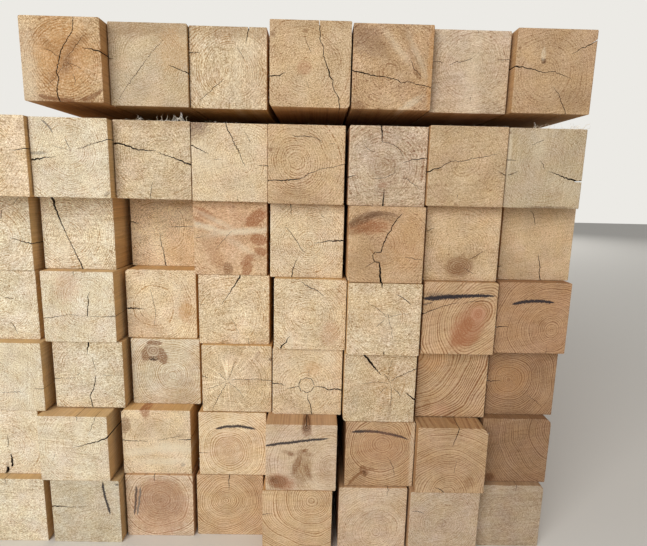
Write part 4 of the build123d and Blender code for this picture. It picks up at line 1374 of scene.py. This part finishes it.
def arris_spots(random):
    """Where slivers stand, which way they lean and how long they are."""
    spots, leans, sizes = [], [], []

    def stand(spot, lean, size):
        spots.append(tuple(np.array(spot) * MM))
        leans.append(tuple(np.array(lean) + random.normal(0, LEAN_VARIES, 3)))
        sizes.append(size * MM)

    for layer, number in POSTS:
        low, high = post_box(layer, number)
        for y, out, axis, side, place in end_arrises(low, high):
            other = 2 - axis
            for _ in range(random.poisson(WHISKERS_PER_METRE * (high[other] - low[other]) * MM)):
                spot, lean = [0, y, 0], [0, out, 0]
                spot[axis], lean[axis] = place, side * LEAN_ASIDE
                spot[other] = random.uniform(low[other] + CLEAR_OF_CORNER, high[other] - CLEAR_OF_CORNER)
                lean[other] = random.normal(0, 0.8)
                stand(spot, lean, WHISKER * random.uniform(*WHISKER_SIZES))
        for begin, finish, thick, long in TUFTS.get((layer, number), []):
            for _ in range(int(thick * (finish - begin))):
                across, inward = low[0] + random.uniform(begin, finish), random.uniform(0.2, 1.5)
                spot = (across, low[1] + inward, high[2] - BELOW_FACE)
                stand(spot, (random.normal(0, 1.1), -0.25, 1.0), long * random.uniform(*TUFT_SIZES))
    return spots, leans, sizes


torn_fibre = speckled_material("torn_fibre", 0.8, (160, 160, 160), 0.35, 0.65, linear(238, 224, 196),
                             linear(252, 248, 240))
fibres = planted("torn_fibres", *arris_spots(np.random.default_rng(FIBRE_SEED)), torn_fibre)
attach(fibres, "root")
print("torn_fibres:", len(fibres.data.polygons), "faces")

# %% [markdown]
# The stack stands on a plain pale floor, in soft daylight from the front and a little from
# the left. A large lamp in front gives it, a weaker one behind keeps the far end out of
# the dark, and the world fills the rest.

# %% Floor and light
FLOOR = 7                   # metres from its middle to an edge
SKY_STRENGTH = 0.37         # the light that the world gives; the camera sees it at full strength

floor_mesh = bpy.data.meshes.new("floor")
floor_mesh.from_pydata([(-FLOOR, -FLOOR, 0), (FLOOR, -FLOOR, 0), (FLOOR, FLOOR, 0), (-FLOOR, FLOOR, 0)],
                       [], [(0, 1, 2, 3)])
floor_mesh.materials.append(new_material("floor", 0.9, linear(226, 222, 214))[0])
floor = set_up("floor", floor_mesh)

world = bpy.data.worlds.new("daylight")
scene.world = world
world.use_nodes = True
w = Wiring(world.node_tree)
sky = world.node_tree.nodes["Background"]
w.join((1, 1, 1, 1), sky.inputs["Color"])
w.join(SKY_STRENGTH, sky.inputs["Strength"])
shown = w.node("Background", linear(236, 234, 229), 1.0).outputs[0]
for_camera = w.add("ShaderNodeLightPath")["Is Camera Ray"]
seen = w.node("MixShader", for_camera, sky.outputs[0], shown).outputs[0]
w.join(seen, world.node_tree.nodes["World Output"].inputs["Surface"])


def soft_lamp(name, place, target, size, power, tone=(1, 1, 1)):
    """A large square lamp that looks at a target."""
    lamp = set_up(name, bpy.data.lights.new(name, "AREA"))
    lamp.data.size = size
    lamp.data.energy = power
    lamp.data.color = tone
    lamp.location = place
    lamp.rotation_euler = (Vector(target) - Vector(place)).to_track_quat("-Z", "Y").to_euler()


soft_lamp("front_light", place=(-1.4, FRONT_PLANE - 2.6, 1.9), target=(0, FRONT_PLANE, 0.4), size=2.2,
          power=80, tone=(1.0, 0.98, 0.96))
soft_lamp("back_light", place=(1.8, cad_high[1] + 2.4, 2.4), target=(0, cad_high[1], 0.4), size=2.4,
          power=60)
print("floor of", 2 * FLOOR, "m, two lamps, and the world at", SKY_STRENGTH)

# %% [markdown]
